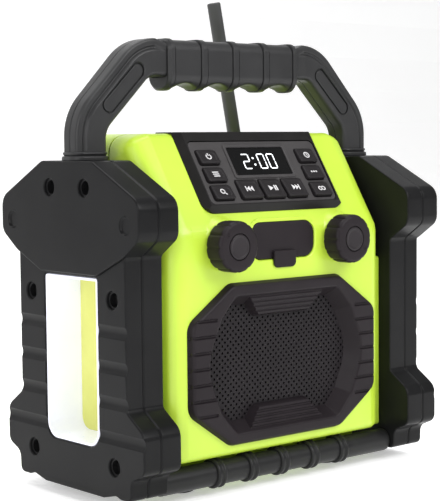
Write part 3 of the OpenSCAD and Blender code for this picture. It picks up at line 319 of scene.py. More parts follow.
def surface(name, dark, light, rough, grain=0.0, grain_scale=1400, bump=0.0, patch=35, rough_span=0.08,
            metallic=0.0, specular=0.5, coat=0.0, coat_rough=0.2, emit=None, emit_power=0.0):
    """A moulded or painted surface: two close tones in soft patches, fine grain and uneven gloss."""
    m = bpy.data.materials.new(name)
    m.use_nodes = True
    tree = m.node_tree
    shader = tree.nodes["Principled BSDF"]
    where = tree.nodes.new("ShaderNodeTexCoord")

    def fill(node, values):
        for socket, value in values.items():
            node.inputs[socket].default_value = value

    def link(source, output, target, socket):
        tree.links.new(source.outputs[output], target.inputs[socket])

    def noise(scale, detail, target, socket, roughness=0.55):
        n = tree.nodes.new("ShaderNodeTexNoise")
        fill(n, {"Scale": scale, "Detail": detail, "Roughness": roughness})
        link(where, "Object", n, "Vector")
        link(n, "Fac", target, socket)

    tones = tree.nodes.new("ShaderNodeValToRGB")
    tones.color_ramp.elements[0].position = 0.35
    tones.color_ramp.elements[1].position = 0.65
    tones.color_ramp.elements[0].color = (*dark, 1)
    tones.color_ramp.elements[1].color = (*light, 1)
    noise(patch, 4, tones, "Fac")
    link(tones, "Color", shader, "Base Color")

    gloss = tree.nodes.new("ShaderNodeMapRange")
    fill(gloss, {"To Min": rough - rough_span, "To Max": rough + rough_span})
    noise(patch * 4, 5, gloss, "Value")
    link(gloss, "Result", shader, "Roughness")

    if bump > 0:
        b = tree.nodes.new("ShaderNodeBump")
        fill(b, {"Strength": grain, "Distance": bump * MM})
        noise(grain_scale, 3, b, "Height", 0.6)
        link(b, "Normal", shader, "Normal")
    fill(shader, {"Metallic": metallic, "Specular IOR Level": specular, "Coat Weight": coat,
                  "Coat Roughness": coat_rough})
    if emit:
        fill(shader, {"Emission Color": (*emit, 1), "Emission Strength": emit_power})
    return m


LIME = surface("lime_plastic", (0.475, 0.675, 0.044), (0.505, 0.71, 0.052), 0.34, 0.25, 900, 0.05, patch=22,
               rough_span=0.05, coat=0.2, coat_rough=0.25)
BLACK = surface("guard_rubber", (0.0075, 0.0075, 0.0080), (0.0100, 0.0100, 0.0105), 0.36, 0.5, 1500, 0.08,
                specular=0.06, coat=0.12, coat_rough=0.14)
HANDLE_BLACK = surface("handle_rubber", (0.019, 0.019, 0.020), (0.025, 0.025, 0.026), 0.42, 0.5, 1500, 0.08,
                       specular=0.24, coat=0.12, coat_rough=0.16)
AERIAL_BLACK = surface("aerial_rubber", (0.042, 0.042, 0.043), (0.052, 0.052, 0.053), 0.40, 0.4, 1500, 0.05,
                       specular=0.35)
BAR_BLACK = surface("bar_rubber", (0.012, 0.012, 0.0125), (0.016, 0.016, 0.0165), 0.38, 0.4, 1500, 0.06,
                    specular=0.22)
PLUM = surface("plum_plastic", (0.0140, 0.0108, 0.0128), (0.0172, 0.0136, 0.0158), 0.42, 0.4, 1600, 0.05,
               specular=0.14)
PLATE_GREY = surface("key_plate_plastic", (0.036, 0.033, 0.034), (0.043, 0.040, 0.041), 0.40, 0.3, 1600,
                     0.04, specular=0.30)
BEZEL = surface("bezel_plastic", (0.0075, 0.0068, 0.0068), (0.0100, 0.0092, 0.0092), 0.34, 0.3, 1600, 0.04,
                specular=0.18)
KEY = surface("key_plastic", (0.0115, 0.0100, 0.0110), (0.0145, 0.0126, 0.0138), 0.40, 0.3, 1600, 0.04,
              specular=0.18)
CAP = surface("knob_cap_plastic", (0.018, 0.0148, 0.0168), (0.022, 0.0185, 0.0208), 0.36, 0.3, 1600, 0.03,
              specular=0.20)
RUBBER = surface("soft_rubber", (0.012, 0.012, 0.012), (0.016, 0.016, 0.016), 0.55, 0.5, 1100, 0.08,
                 specular=0.3)
STEEL = surface("zinc_steel", (0.30, 0.30, 0.31), (0.38, 0.38, 0.39), 0.32, 0.3, 1200, 0.03, metallic=1.0)
DARK_STEEL = surface("blackened_steel", (0.020, 0.020, 0.021), (0.028, 0.028, 0.029), 0.40, 0.3, 1200, 0.03,
                     metallic=0.8)
GLASS = surface("display_glass", (0.0020, 0.0020, 0.0022), (0.0030, 0.0030, 0.0032), 0.12, rough_span=0.03,
                specular=0.25)
MESH = surface("grille_mesh_paint", (0.0105, 0.0085, 0.0100), (0.0135, 0.0110, 0.0128), 0.45, 0.3, 1600,
               0.03, specular=0.15)
PAPER = surface("cone_paper", (0.012, 0.011, 0.011), (0.018, 0.017, 0.017), 0.75, 0.6, 700, 0.12)
MAGNET = surface("magnet_coating", (0.14, 0.14, 0.15), (0.18, 0.18, 0.19), 0.45, 0.3, 900, 0.05,
                 metallic=0.6)
# White reflector with a painted glow: its emission stands in for the lamp panel's light falling on the
# tray's walls.
REFLECTOR_GLOW = surface("reflector_white", (0.72, 0.73, 0.82), (0.78, 0.79, 0.87), 0.30, 0.2, 900, 0.03,
                emit=(0.86, 0.87, 1.0), emit_power=0.24)
COB = surface("light_panel_yellow", (0.58, 0.60, 0.13), (0.64, 0.66, 0.17), 0.45, 0.5, 420, 0.10,
              emit=(0.93, 0.95, 0.45), emit_power=0.05)
PCB = surface("circuit_board", (0.012, 0.11, 0.045), (0.016, 0.14, 0.055), 0.40, 0.3, 600, 0.05, patch=90)
CELL = surface("cell_wrap", (0.03, 0.08, 0.24), (0.04, 0.10, 0.28), 0.35, 0.2, 900, 0.03)
SOCKET = surface("socket_plastic", (0.010, 0.010, 0.011), (0.014, 0.014, 0.015), 0.38, 0.3, 1400, 0.04)
INK = surface("key_ink", (0.55, 0.54, 0.55), (0.62, 0.61, 0.62), 0.55, 0.2, 1600, 0.02)
DIGIT = surface("display_digits", (0.80, 0.82, 0.84), (0.86, 0.88, 0.90), 0.40, rough_span=0.04,
                emit=(0.92, 0.96, 1.0), emit_power=0.9)


# Body shells

def planes(drop, side_drop=0):
    """Half planes (normal, offset) of the side profile in Y and Z: bottom, back, top, slope, front."""
    slope = Vector((-COS, SIN))
    return [
        (Vector((0, -1)), -BOTTOM - drop),
        (Vector((1, 0)), BACK - drop),
        (Vector((0, 1)), TOP - drop - side_drop),
        (slope, slope.dot(Vector((-FRONT, SLANT_Z))) - drop - side_drop),
        (Vector((-1, 0)), FRONT - drop),
    ]


def meet(a, b):
    (n1, c1), (n2, c2) = a, b
    det = n1.x * n2.y - n1.y * n2.x
    return Vector(((c1 * n2.y - c2 * n1.y) / det, (n1.x * c2 - n2.x * c1) / det))


def ball(points, centre, r, rows=10):
    for i in range(rows + 1):
        lat = math.pi * (i / rows - 0.5)
        for k in range(2 * rows):
            lon = math.pi * k / rows
            points.append((centre[0] + r * math.cos(lat) * math.cos(lon),
                           centre[1] + r * math.cos(lat) * math.sin(lon), centre[2] + r * math.sin(lat)))


CREASE_X = 75
CREASE_DROP = 1.0
LEAST_R = 2
LOWER_EDGES = ((0, 6), (4, 5))
UPPER_EDGES = ((1, 8, 12), (2, 11, 8), (3, CORNER_R, CORNER_R))
QUARTER_STEPS = 8


def body_points(drop):
    """Points whose hull is the body, moved in by drop, with soft edges and a crease along the slope."""
    points = []
    for side in (-1, 1):
        for i, tube in LOWER_EDGES:
            r = max(tube - drop, LEAST_R)
            ring = CORNER_R - tube
            p = planes(drop + r)
            at = meet(p[i], p[(i + 1) % len(p)])
            inward = -1 if at.x > 0 else 1
            hub = (side * (HALF_W - drop - r - ring), at.x + inward * ring)
            for k in range(QUARTER_STEPS + 1):
                a = math.pi / 2 * k / QUARTER_STEPS
                centre = (hub[0] + side * ring * math.cos(a), hub[1] - inward * ring * math.sin(a), at.y)
                ball(points, centre, r, 6)
        for i, r_side, r in UPPER_EDGES:
            r_side = max(r_side - drop, LEAST_R)
            p = planes(drop + r_side, CREASE_DROP)
            at = meet(p[i], p[i + 1])
            ball(points, (side * (HALF_W - drop - r_side), at.x, at.y), r_side)
            r = max(r - drop, LEAST_R)
            p = planes(drop + r)
            at = meet(p[i], p[i + 1])
            ball(points, (side * (CREASE_X - drop), at.x, at.y), r)
    return points


def body_hull(name, drop):
    bm = bmesh.new()
    for p in body_points(drop):
        vert(bm, p)
    bmesh.ops.remove_doubles(bm, verts=bm.verts, dist=0.01 * MM)
    made = bmesh.ops.convex_hull(bm, input=bm.verts, use_existing_faces=False)
    loose = [g for g in made["geom_interior"] + made["geom_unused"] if isinstance(g, bmesh.types.BMVert)]
    bmesh.ops.delete(bm, geom=list(set(loose)), context="VERTS")
    bmesh.ops.dissolve_limit(bm, angle_limit=math.radians(0.3), verts=bm.verts, edges=bm.edges)
    return mesh_from(bm, name)


CREASE_RUN = CORNER_R * math.tan(SLANT / 2)


def face_depth(z):
    """Y of the plain front face and slope at height z."""
    if z <= SLANT_Z - CREASE_RUN:
        return -FRONT
    if z >= SLANT_Z + CREASE_RUN * COS:
        return -FRONT + (z - SLANT_Z) * math.tan(SLANT)
    up = z - SLANT_Z + CREASE_RUN
    return -FRONT + CORNER_R - math.sqrt(CORNER_R ** 2 - up ** 2)


def soft_min(a, b, k):
    h = max(k - abs(a - b), 0) / k
    return min(a, b) - h * h * k / 4


def soft_max(a, b, k):
    return -soft_min(-a, -b, k)


def clamp(t):
    return min(max(t, 0), 1)


def boss_depth(d):
    """Y of a boss with a soft rim at distance d outside its edge."""
    rim = 1.5
    steep = 2.6
    if d <= -rim:
        return -BOSS_FACE
    if d >= rim:
        return -BOSS_FACE + steep * d
    return -BOSS_FACE + steep * (d + rim) ** 2 / (4 * rim)


BOSS_SPAN = 73
BOSS_UP = (124, 180)
BLEND_UP = (152, 168)


def boss_patch():
    """Raised seats of the knobs, blended into the front face."""
    sink = 0.05
    depth = 2.2
    step = 0.9
    across = [-BOSS_SPAN + step * i for i in range(int(2 * BOSS_SPAN / step) + 1)]
    up = [BOSS_UP[0] + step * j for j in range(int((BOSS_UP[1] - BOSS_UP[0]) / step) + 1)]

    def skin(x, z):
        blend = 1.0 + 3.0 * clamp((z - BLEND_UP[0]) / (BLEND_UP[1] - BLEND_UP[0]))
        knob = math.hypot(abs(x) - KNOB_X, z - KNOB_Z) - BOSS_R
        y = soft_min(face_depth(z), boss_depth(knob), blend)
        return (x, y + sink, z)

    bm = bmesh.new()
    outer = [[vert(bm, skin(x, z)) for x in across] for z in up]
    inner = [[vert(bm, (x, face_depth(z) + depth, z)) for x in across] for z in up]
    rows = len(up)
    cols = len(across)
    for j in range(rows - 1):
        for i in range(cols - 1):
            bm.faces.new((outer[j][i], outer[j][i + 1], outer[j + 1][i + 1], outer[j + 1][i]))
            bm.faces.new((inner[j][i], inner[j + 1][i], inner[j + 1][i + 1], inner[j][i + 1]))
    rim = [(0, i) for i in range(cols)] + [(j, cols - 1) for j in range(1, rows)]
    rim += [(rows - 1, i) for i in range(cols - 2, -1, -1)] + [(j, 0) for j in range(rows - 2, 0, -1)]
    for (j, i), (q, p) in zip(rim, rim[1:] + rim[:1]):
        bm.faces.new((outer[j][i], inner[j][i], inner[q][p], outer[q][p]))
    return mesh_from(bm, "boss_patch")


GRILLE = [(u, v + GRILLE_Z, r) for u, v, r in mirrored(
    [(46, -49.35, 10), (78, -27, 10), (78, 27, 10), (46, 49.35, 10)])]
MOUTH = [(u, v + GRILLE_Z, r) for u, v, r in mirrored(
    [(43, -41.85, 6), (55, -28.5, 8), (67.3, 0, 60), (55, 28.5, 8), (43, 41.85, 6)])]
RIM_TOP = 41.85
LEDGE_DROP = 13.2
LEDGE_STAND = 5
LEDGE_LINES = 4
DOOR = box_outline(53, 22.6, 8, 0, PORT_Z)
DOOR_FLOOR = 50.8
PAD_Y = 44
PAD_Z = (22.7, 136)
CASE_BOLTS = [(x * 83.1, z) for x in (-1, 1) for z in (BOTTOM + 16, TOP - 22)]
AERIAL = (66.5, 62, 193.036)
CHARGE = (-50, 62)
HOOK_X = -17
HOOK_Z = 186.136
HOOK_OUT = 69.4
SKIRT_L = 2 * (HALF_W - CORNER_R)
SKIRT_H = 9.5
SKIRT_Y = (35.2, 37.2)
SKIRT_Z = BOTTOM - 3.25
OPENING = (100.8, 42.8)
OPENING_S = 27.1


def pads(lo, hi):
    """Seats of the guards on both sides of a shell, between two depths."""
    corners = box_outline(hi - lo, PAD_Z[1] - PAD_Z[0], 2, (lo + hi) / 2, sum(PAD_Z) / 2)
    levels = [(HALF_W - 1, 0)] + edge(GUARD_IN, 0.6)
    return [plate("pad", corners, levels, on_x(side)) for side in (-1, 1)]


def skirt(place):
    """Rib under a shell, behind its bar."""
    return prism("skirt", box_outline(SKIRT_L, SKIRT_H, 0.6, 0, SKIRT_Z), *SKIRT_Y, place)


def front_shell():
    shell = body_hull("front_shell_skin", 0)
    overlap(shell, slab("half", -SLAB[1], SPLIT[0]))
    unite(shell, boss_patch())
    unite(shell, *pads(-PAD_Y, SPLIT[0]))
    cut(shell, body_hull("hollow", WALL))
    unite(shell, prism("seat", outline_inset(DOOR, -2.4), 46, 52.5, on_y), skirt(on_y))
    lip = [(DOOR_FLOOR, -0.3), (53.0, -0.3), (53.5, -0.5), (53.9, -1.0), (54.1, -1.6), (60, -1.6)]
    cutters = [
        prism("mouth", outline_inset(GRILLE, 4.8), 45, 60, on_y),
        plate("pocket", DOOR, lip, on_y, 10),
        prism("recess", box_outline(PLUG[0] + 2, PLUG[1] + 2, PLUG[2] + 1, 0, PORT_Z), 40, 60, on_y),
        prism("opening", box_outline(*OPENING, 1, 0, OPENING_S), -12, 8, on_panel),
    ]
    for side in (-1, 1):
        place = moved(on_y, side * KNOB_X, KNOB_Z)
        cutters.append(turned("bush", [(40, BUSH_R), (60, BUSH_R)], place))
    return cut(shell, *cutters)


def rear_shell():
    shell = body_hull("rear_shell_skin", 0)
    overlap(shell, slab("half", SPLIT[1], SLAB[1]))
    unite(shell, *pads(SPLIT[1], PAD_Y))
    boss = [(BACK - CORNER_R, 11), (BACK + 1.6, 11), (BACK + 2.6, 10.6), (BACK + 3, 9.8)]
    tip = edge(HOOK_OUT, 0.8)
    rest = plate("rest", box_outline(10, 3, 1, HOOK_X, HOOK_Z), [(BACK - 1, 0)] + tip, on_back)
    lip = plate("lip", box_outline(10, 8, 1, HOOK_X, HOOK_Z + 2.5),
                edge_back(HOOK_OUT - 2, 0.5) + tip, on_back)
    unite(rest, lip, skirt(on_back))
    unite(shell, turned("boss", boss, moved(on_back, AERIAL[0], AERIAL[2])), rest)
    cut(shell, body_hull("hollow", WALL))
    well = [(9, 3.4), (BACK - 0.9, 3.4), (BACK - 0.3, 3.7), (BACK + 0.02, 4.3), (BACK + 5, 4.3)]
    wells = [turned("well", well, moved(on_back, x, z), 32) for x, z in CASE_BOLTS]
    inlet = [(45, 0), (53.2, 0), (54.2, -0.9), (56, -0.9)]
    wells.append(plate("inlet", box_outline(9.6, 4, 1.6, *CHARGE), inlet, on_back))
    return cut(shell, *wells)


dress(front_shell(), LIME, "body", ["front_shell"], 30)
dress(rear_shell(), LIME, "body", ["rear_shell"], 30)

seal = body_hull("shell_seal", 0.6)
overlap(seal, slab("slice", SPLIT[0] + 0.05, SPLIT[1] - 0.05))
cut(seal, body_hull("hollow", WALL))
dress(seal, RUBBER, "body", ["shell_gasket"])


# Guards

CREST = [(SHOULDER_Y, GUARD_TOP - 43.7, 8), (SHOULDER_Y, GUARD_TOP - 22.6, 10), (25.8, GUARD_TOP, 8)]
GUARD = mirrored([
    (30, GUARD_BOTTOM, 6), (42, GUARD_BOTTOM + 3, 6), (47, GUARD_BOTTOM + 1.5, 2),
    (57, GUARD_BOTTOM + 1.5, 4), (57.6, GUARD_BOTTOM + 14, 6), (SHOULDER_Y, GUARD_BOTTOM + 19.5, 6),
    (SHOULDER_Y, WINDOW[1] + 14.2, 9), (COLUMN_Y, WINDOW[1] + 25, 4), (COLUMN_Y, GUARD_TOP - 54.9, 4),
    *CREST,
])
SHOULDER = mirrored([(28.3, WINDOW[2] + 1.5, 3), (COLUMN_Y, GUARD_TOP - 54.9, 20), *CREST])
WINDOW_OUTLINE = [(WINDOW[0], WINDOW[1], 10), (WINDOW[0], WINDOW[2], 2),
                  (-WINDOW[0], WINDOW[2], 2), (-WINDOW[0], WINDOW[1], 10)]
GUARD_BOLTS = [(17.6, GUARD_TOP - 15.7, GUARD_OUT), (57.4, GUARD_TOP - 36.3, GUARD_OUT),
               (41.3, WINDOW[2] - 11.6, GUARD_FACE), (41.3, WINDOW[1] - 8.7, GUARD_FACE)]
WELL_FLOOR = 114.5
SCOOP_R = 6.6
SCOOP_DEPTH = 1.3
SCOOP_END = 76
SCOOPS = [WINDOW[1] + 8.3 + 20.5 * k for k in range(4)]


def guard_outer(name, side):
    """Outer half of a guard: scooped columns, shoulder, window and screw wells."""
    seam = [(GUARD_MID, 0.7), (GUARD_MID + 0.5, 0.5), (GUARD_MID + 0.9, 0.1), (GUARD_MID + 1.3, 0)]
    guard = plate(name, GUARD, seam + edge(GUARD_FACE, 1.1), on_x(side))
    top = plate("shoulder", SHOULDER, [(GUARD_FACE - 4, 0)] + edge(GUARD_OUT, 1.1), on_x(side))
    scoops = []
    for z in SCOOPS:
        for front in (-1, 1):
            profile = [(front * t, SCOOP_R) for t in (WINDOW[0] - 6, SCOOP_END)]
            place = lambda u, v, w, z=z: (side * (GUARD_FACE + SCOOP_R - SCOOP_DEPTH + u), w, z + v)
            scoops.append(turned("scoop", profile, place, 40))
    cut(guard, *scoops)
    unite(guard, top)
    mouth = [(GUARD_MID - 1, 0), (GUARD_FACE - 1.2, 0), (GUARD_FACE - 0.5, -0.3), (GUARD_FACE - 0.1, -0.8),
             (GUARD_FACE + 0.1, -1.2), (GUARD_OUT + 1, -1.2)]
    tools = [plate("window", WINDOW_OUTLINE, mouth, on_x(side))]
    for y, z, face in GUARD_BOLTS:
        if y > COLUMN_Y:
            well = [(face - 1.3, 4.2), (face - 1.1, 4.8), (face - 0.6, 5.2), (face + 0.05, 5.7)]
        else:
            well = [(WELL_FLOOR, 4.2), (face - 2.0, 4.2), (face - 1.8, 5.2), (face - 0.7, 5.3),
                    (face - 0.2, 5.6), (face + 0.05, 6.1)]
        well.append((GUARD_OUT + 2, well[-1][1]))
        for front in (-1, 1):
            tools.append(turned("well", well, moved(on_x(side), front * y, z), 40))
    return cut(guard, *tools)


def guard_inner(name, side):
    seam = [(GUARD_MID - 1.3, 0), (GUARD_MID - 0.9, 0.1), (GUARD_MID - 0.5, 0.5), (GUARD_MID - 0.02, 0.7)]
    guard = plate(name, GUARD, edge_back(GUARD_IN, 0.9) + seam, on_x(side))
    return cut(guard, prism("window", WINDOW_OUTLINE, GUARD_IN - 1, GUARD_MID + 1, on_x(side)))


for side, word in ((-1, "left"), (1, "right")):
    for part, make in (("_guard_outer", guard_outer), ("_guard_inner", guard_inner)):
        dress(make(word + part + "_skin", side), BLACK, "body", [word + part], 35)


# Handle

ARC_STEPS = 14


def arc_path(corners):
    """Points from the first corner (x, z, radius) through an arc at each inner one."""
    out = [Vector(corners[0][:2])]
    for i in range(1, len(corners) - 1):
        p = Vector(corners[i][:2])
        a = (Vector(corners[i - 1][:2]) - p).normalized()
        b = (Vector(corners[i + 1][:2]) - p).normalized()
        half = a.angle(b) / 2
        out += [Vector(q) for q in corner_arc(p, a, b, half, corners[i][2] / math.tan(half), ARC_STEPS)]
    return out


HANDLE = [(-GUARD_MID, GUARD_TOP, 0), (-GUARD_MID, BEND_Z, BEND_R), (-BEND_X, ARM_Z, BEND_R),
          (-GRIP_END, ARM_Z, 0)]
LEG = (11, 8)
ARM = (11.5, 9)
CORE = (10.3, 8.5)
SEAM = 0.15
CROWN = 1.5
LIFT_FROM = 12


def half_section(a, under, b):
    """Half of the handle's section (outward, depth), with a soft valley beside the front face."""
    corners = [(a, -SEAM, 0.7), (a, -b + 0.9, 4.2), (a - 4.2, -b + 0.9, 1.0), (a - 5.7, -b + 2.5, 1.1),
               (a - 7.3, -b, 1.3), (-under, -b, 3.0), (-under, -SEAM, 0.5)]
    return rounded(corners)


def core_section():
    """The plain core inside the grip, with as many points as the arm's section."""
    a, b = CORE
    corners = [(a, -SEAM, 0.3), (a, -b, 3), (a - 4, -b, 0.05), (a - 5, -b, 0.05), (a - 6, -b, 0.05),
               (-a, -b, 3), (-a, -SEAM, 0.3)]
    return rounded(corners)


def handle_half(name, front):
    path = arc_path(HANDLE)
    arms = path + [Vector((-p.x, p.y)) for p in reversed(path)]
    middle = len(path)
    rings = []

    def add(at, n, section):
        rings.append([(at.x + n.x * u, -front * v, at.y + n.y * u) for u, v in section])

    for i, p in enumerate(arms):
        if i in (middle - 1, middle):
            t = Vector((1, 0))
        else:
            t = (arms[min(i + 1, len(arms) - 1)] - arms[max(i - 1, 0)]).normalized()
        n = Vector((-t.y, t.x))
        lift = clamp((p.y - GUARD_TOP - LIFT_FROM) / (ARM_Z - GUARD_TOP - 2 * LIFT_FROM))
        crown = CROWN * clamp((p.y - BEND_Z) / (ARM_Z - BEND_Z)) ** 3
        a = LEG[0] + (ARM[0] - LEG[0]) * lift
        b = LEG[1] + (ARM[1] - LEG[1]) * lift
        if i == middle:
            add(Vector((GRIP_END - 0.02, ARM_Z)), n, core_section())
        add(p, n, half_section(a + crown, a - crown, b))
        if i == middle - 1:
            add(Vector((-GRIP_END + 0.02, ARM_Z)), n, core_section())
    return solid(name, rings)


PANEL_MID = (87.6, 245.5)
PANEL_SPAN = 30
PANEL_R = 5
ARM_SLOPE = math.radians(44)


def arm_panels(front, drop, levels):
    """Long rounded plates in the arms' faces, inset by drop: they cut the recesses, or fill them."""
    tools = []
    for side in (-1, 1):
        def place(u, v, w, side=side):
            x = -PANEL_MID[0] + u * math.cos(ARM_SLOPE) - v * math.sin(ARM_SLOPE)
            z = PANEL_MID[1] + u * math.sin(ARM_SLOPE) + v * math.cos(ARM_SLOPE)
            return (-side * x, front * -w, z)
        r = PANEL_R - drop
        corners = box_outline(PANEL_SPAN + 2 * r, 2 * r, r - 0.05)
        tools.append(plate("recess", corners, levels, place, 10))
    return tools


for front, word in ((1, "front"), (-1, "rear")):
    half = handle_half("handle_%s_skin" % word, -front)
    face = ARM[1]
    recess = [(face - 1.8, 0.1), (face - 0.5, 0), (face, -0.4), (face + 2, -0.4)]
    cut(half, *arm_panels(front, 0, recess))
    unite(half, *arm_panels(front, 1.1, [(face - 2.4, 0)] + edge(face - 0.5, 0.5)))
    dress(half, HANDLE_BLACK, "body", ["handle_" + word], 32)


def grip():
    """Rubber grip: finger valleys between the bands and a flat top, as a row of sections along X."""
    half_d = 11.5
    base = GRIP_Z - GRIP_HALF
    top = GRIP_Z + GRIP_HALF
    band = 2.3
    end_r = 1.6
    blend = 1.6
    heights = ((band - 0.2, 0.0), (band + 0.1, -0.35), (band + 0.6, -1.5), (FINGER_PITCH, -0.8))
    stops = [-GRIP_END + i for i in range(int(2 * GRIP_END) + 1)]
    for k in range(-2, 3):
        for off in (band - 0.35, band, band + 0.45, band + 0.7):
            stops += [k * FINGER_PITCH - off, k * FINGER_PITCH + off]
    stops = sorted(s for s in set(round(s, 3) for s in stops) if abs(s) <= GRIP_END)
    rings = []
    for x in stops:
        near = abs(x - FINGER_PITCH * round(x / FINGER_PITCH))
        off = min(abs(x - (k + 0.5) * FINGER_PITCH) for k in range(-2, 2))
        valley = max(math.sqrt(max(FINGER_R ** 2 - off ** 2, 0)) - FINGER_R + FINGER_DEPTH, 0)
        grow = next(g for limit, g in heights if near < limit)
        end = GRIP_END - abs(x)
        if end < end_r:
            grow = min(grow, -0.8 - (end_r - math.sqrt(max(end_r ** 2 - (end_r - end) ** 2, 0))))
        low = base - grow
        high = top + grow
        d = half_d + grow
        corners = [(d, low, 0.9 * d), (d, high, 7), (-d, high, 7), (-d, low, 0.9 * d)]
        rings.append([(x, u, soft_max(v, base + valley, blend)) for u, v in rounded(corners, 14)])
    sleeve = solid("handle_grip_sleeve", rings)
    hole = box_outline(2 * CORE[1] + 0.6, 2 * CORE[0] + 0.6, 3.2, 0, ARM_Z)
    bore = prism("bore", hole, -GRIP_END - 2, GRIP_END + 2, on_x(1))
    return cut(sleeve, bore)


dress(grip(), HANDLE_BLACK, "body", ["handle_grip"], 32)


def collars():
    parts = []
    for side in (-1, 1):
        corners = box_outline(26.8, 20.8, 7.9, side * GUARD_MID, 0)
        levels = edge_back(GUARD_TOP, 0.4) + edge(GUARD_TOP + 2.6, 0.9)
        levels += [(GUARD_TOP + 2.7, 1.5)] + edge(GUARD_TOP + 5, 0.9, 0.6)
        ring = plate("collar", corners, levels, on_z, 8)
        inner = box_outline(22.3, 16.3, 5, side * GUARD_MID, 0)
        hole = prism("hole", inner, GUARD_TOP - 1, GUARD_TOP + 8, on_z)
        parts.append(cut(ring, hole))
    return join("handle_collar_rings", parts)


dress(collars(), HANDLE_BLACK, "body", ["handle_collars"])


# Lower bars and feet

BAR_Y = 46.8
BAR_Z = 13
BAR_R = 7.5
RING_R = 9.2
BAR_COLLAR = 8.35
RING_STEPS = 8


def roll_bar(name, y):
    """Bar along X with pairs of rounded rings, and a low collar between the rings of a pair."""
    end = [(94.6, BAR_R), (95.4, 7.3), (96.0, 6.6), (96.1, 4.3), (98.6, 4.3)]
    profile = [(-x, r) for x, r in reversed(end)]
    for k in range(-2, 3):
        for half in (-1, 1):
            mid = k * FINGER_PITCH + half * 2.2
            for i in range(RING_STEPS + 1):
                a = math.pi * i / RING_STEPS
                r = BAR_R + (RING_R - BAR_R) * math.sin(a) ** 0.6
                if half * math.cos(a) > 0:
                    r = max(r, BAR_COLLAR)
                profile.append((mid - 1.45 * math.cos(a), r))
    place = lambda u, v, w: (w, y + u, BAR_Z + v)
    return turned(name, profile + end, place, 56)


for front, word in ((-1, "front"), (1, "rear")):
    bar_skin = roll_bar(word + "_bar_rubber", front * BAR_Y)
    dress(bar_skin, BAR_BLACK, "body", [word + "_roll_bar"], 50)

FOOT_X = 61.5
FOOT_Y = 24.3


def feet():
    profile = [(0, 8.6), (0.25, 9.1), (0.8, 9.5), (4.0, 10.4), (6.0, 10.5), (9.6, 10.5), (10.0, 9.9),
               (11.0, 9.9), (11.4, 10.5), (15.6, 10.5), (16.0, 9.9), (17.0, 9.9), (17.4, 10.5),
               (22.4, 10.5), (22.95, 10.0), (22.96, 4.0), (25.7, 4.0)]
    spots = [(x, y) for x in (-FOOT_X, FOOT_X) for y in (-FOOT_Y, FOOT_Y)]
    return join("rubber_feet", [turned("foot", profile, moved(on_z, x, y)) for x, y in spots])


dress(feet(), RUBBER, "body", ["feet"], 45)


# Control panel

bezel = soften(node_copy("control_bezel", "panel_surround"), 0.7)
dress(bezel, BEZEL, "body", ["control_bezel"])

PLATE_W = 105.6
PLATE_L = 45
PLATE_S = 4.3
PLATE_TOP = 3.6
LENS = (47, 20, 34.3)
KEY_X = 41.3
KEY_S = 12.1
KEY_PITCH = 12.6
LOW_PITCH = 19
LOW_S = 13.7
KEY_SIZE = (15.8, 10.4)
LOW_SIZE = (17.4, 14)
KEY_TOP = 5.6
KEYS = [
    ("power_key", -KEY_X, KEY_S + 2 * KEY_PITCH, KEY_SIZE),
    ("mode_key", -KEY_X, KEY_S + KEY_PITCH, KEY_SIZE),
    ("scan_key", -KEY_X, KEY_S, KEY_SIZE),
    ("previous_key", -LOW_PITCH, LOW_S, LOW_SIZE),
    ("play_key", 0, LOW_S, LOW_SIZE),
    ("next_key", LOW_PITCH, LOW_S, LOW_SIZE),
    ("clock_key", KEY_X, KEY_S + 2 * KEY_PITCH, KEY_SIZE),
    ("preset_key", KEY_X, KEY_S + KEY_PITCH, KEY_SIZE),
    ("pair_key", KEY_X, KEY_S, KEY_SIZE),
]
KEY_TILT = 0.13


def key_plate():
    base = plate("panel_key_plate", box_outline(PLATE_W, PLATE_L, 4, 0, PLATE_S + PLATE_L / 2),
                 [(1.2, 0)] + edge(PLATE_TOP, 0.7), on_panel)
    rim = plate("rim", box_outline(LENS[0] + 4.8, LENS[1] + 4.8, 2, 0, LENS[2]),
                [(1.3, 0)] + edge(PLATE_TOP + 0.8, 0.6), on_panel)
    unite(base, rim)
    tools = [plate("pane", box_outline(LENS[0] + 0.4, LENS[1] + 0.4, 1, 0, LENS[2]),
                   [(0, 0), (PLATE_TOP + 0.4, 0), (PLATE_TOP + 0.8, -0.5), (8, -0.5)], on_panel)]
    slot = [(0, 0), (PLATE_TOP - 0.35, 0), (PLATE_TOP, -0.35), (8, -0.35)]
    for _, x, s, (w, h) in KEYS:
        tools.append(plate("slot", box_outline(w + 0.6, h + 0.6, 1.8, x, s), slot, on_panel))
    return cut(base, *tools)


dress(key_plate(), PLATE_GREY, "body", ["control_plate"])

pane = plate("display_pane", box_outline(LENS[0], LENS[1], 1, 0, LENS[2]),
             [(2.0, 0)] + edge(3.4, 0.25), on_panel)
dress(pane, GLASS, "body", ["display_lens"])


def on_key(s):
    """Panel frame whose raised part leans, so that a key's lower edge stands highest."""
    return lambda u, v, w: on_panel(u, v, w - KEY_TILT * (v - s) if w > PLATE_TOP else w)


def key_cap(name, x, s, size):
    corners = box_outline(size[0], size[1], 1.5, x, s)
    levels = [(0.02, 0), (PLATE_TOP - 0.2, 0)] + edge(KEY_TOP - 0.25, 0.9, 0.15) + [(KEY_TOP - 0.12, 1.8)]
    cap = plate(name + "_cap", corners, levels, on_key(s))
    hollow = [(KEY_TOP - 0.45, 0.9), (KEY_TOP - 0.38, 0.3), (KEY_TOP - 0.1, -0.4), (KEY_TOP + 1, -0.4)]
    dip = plate("dip", box_outline(size[0] - 4.4, size[1] - 4.0, 2.2, x, s), hollow, on_key(s))
    return cut(cap, dip)


for name, x, s, size in KEYS:
    dress(key_cap(name, x, s, size), KEY, name, [name])

ICON_W = KEY_TOP - 0.45
ICON_T = 0.12


def printed(points, place, low, thick):
    """A flat printed shape with the given outline points."""
    return solid("print", [[place(u, v, w) for u, v in points] for w in (low, low + thick)])


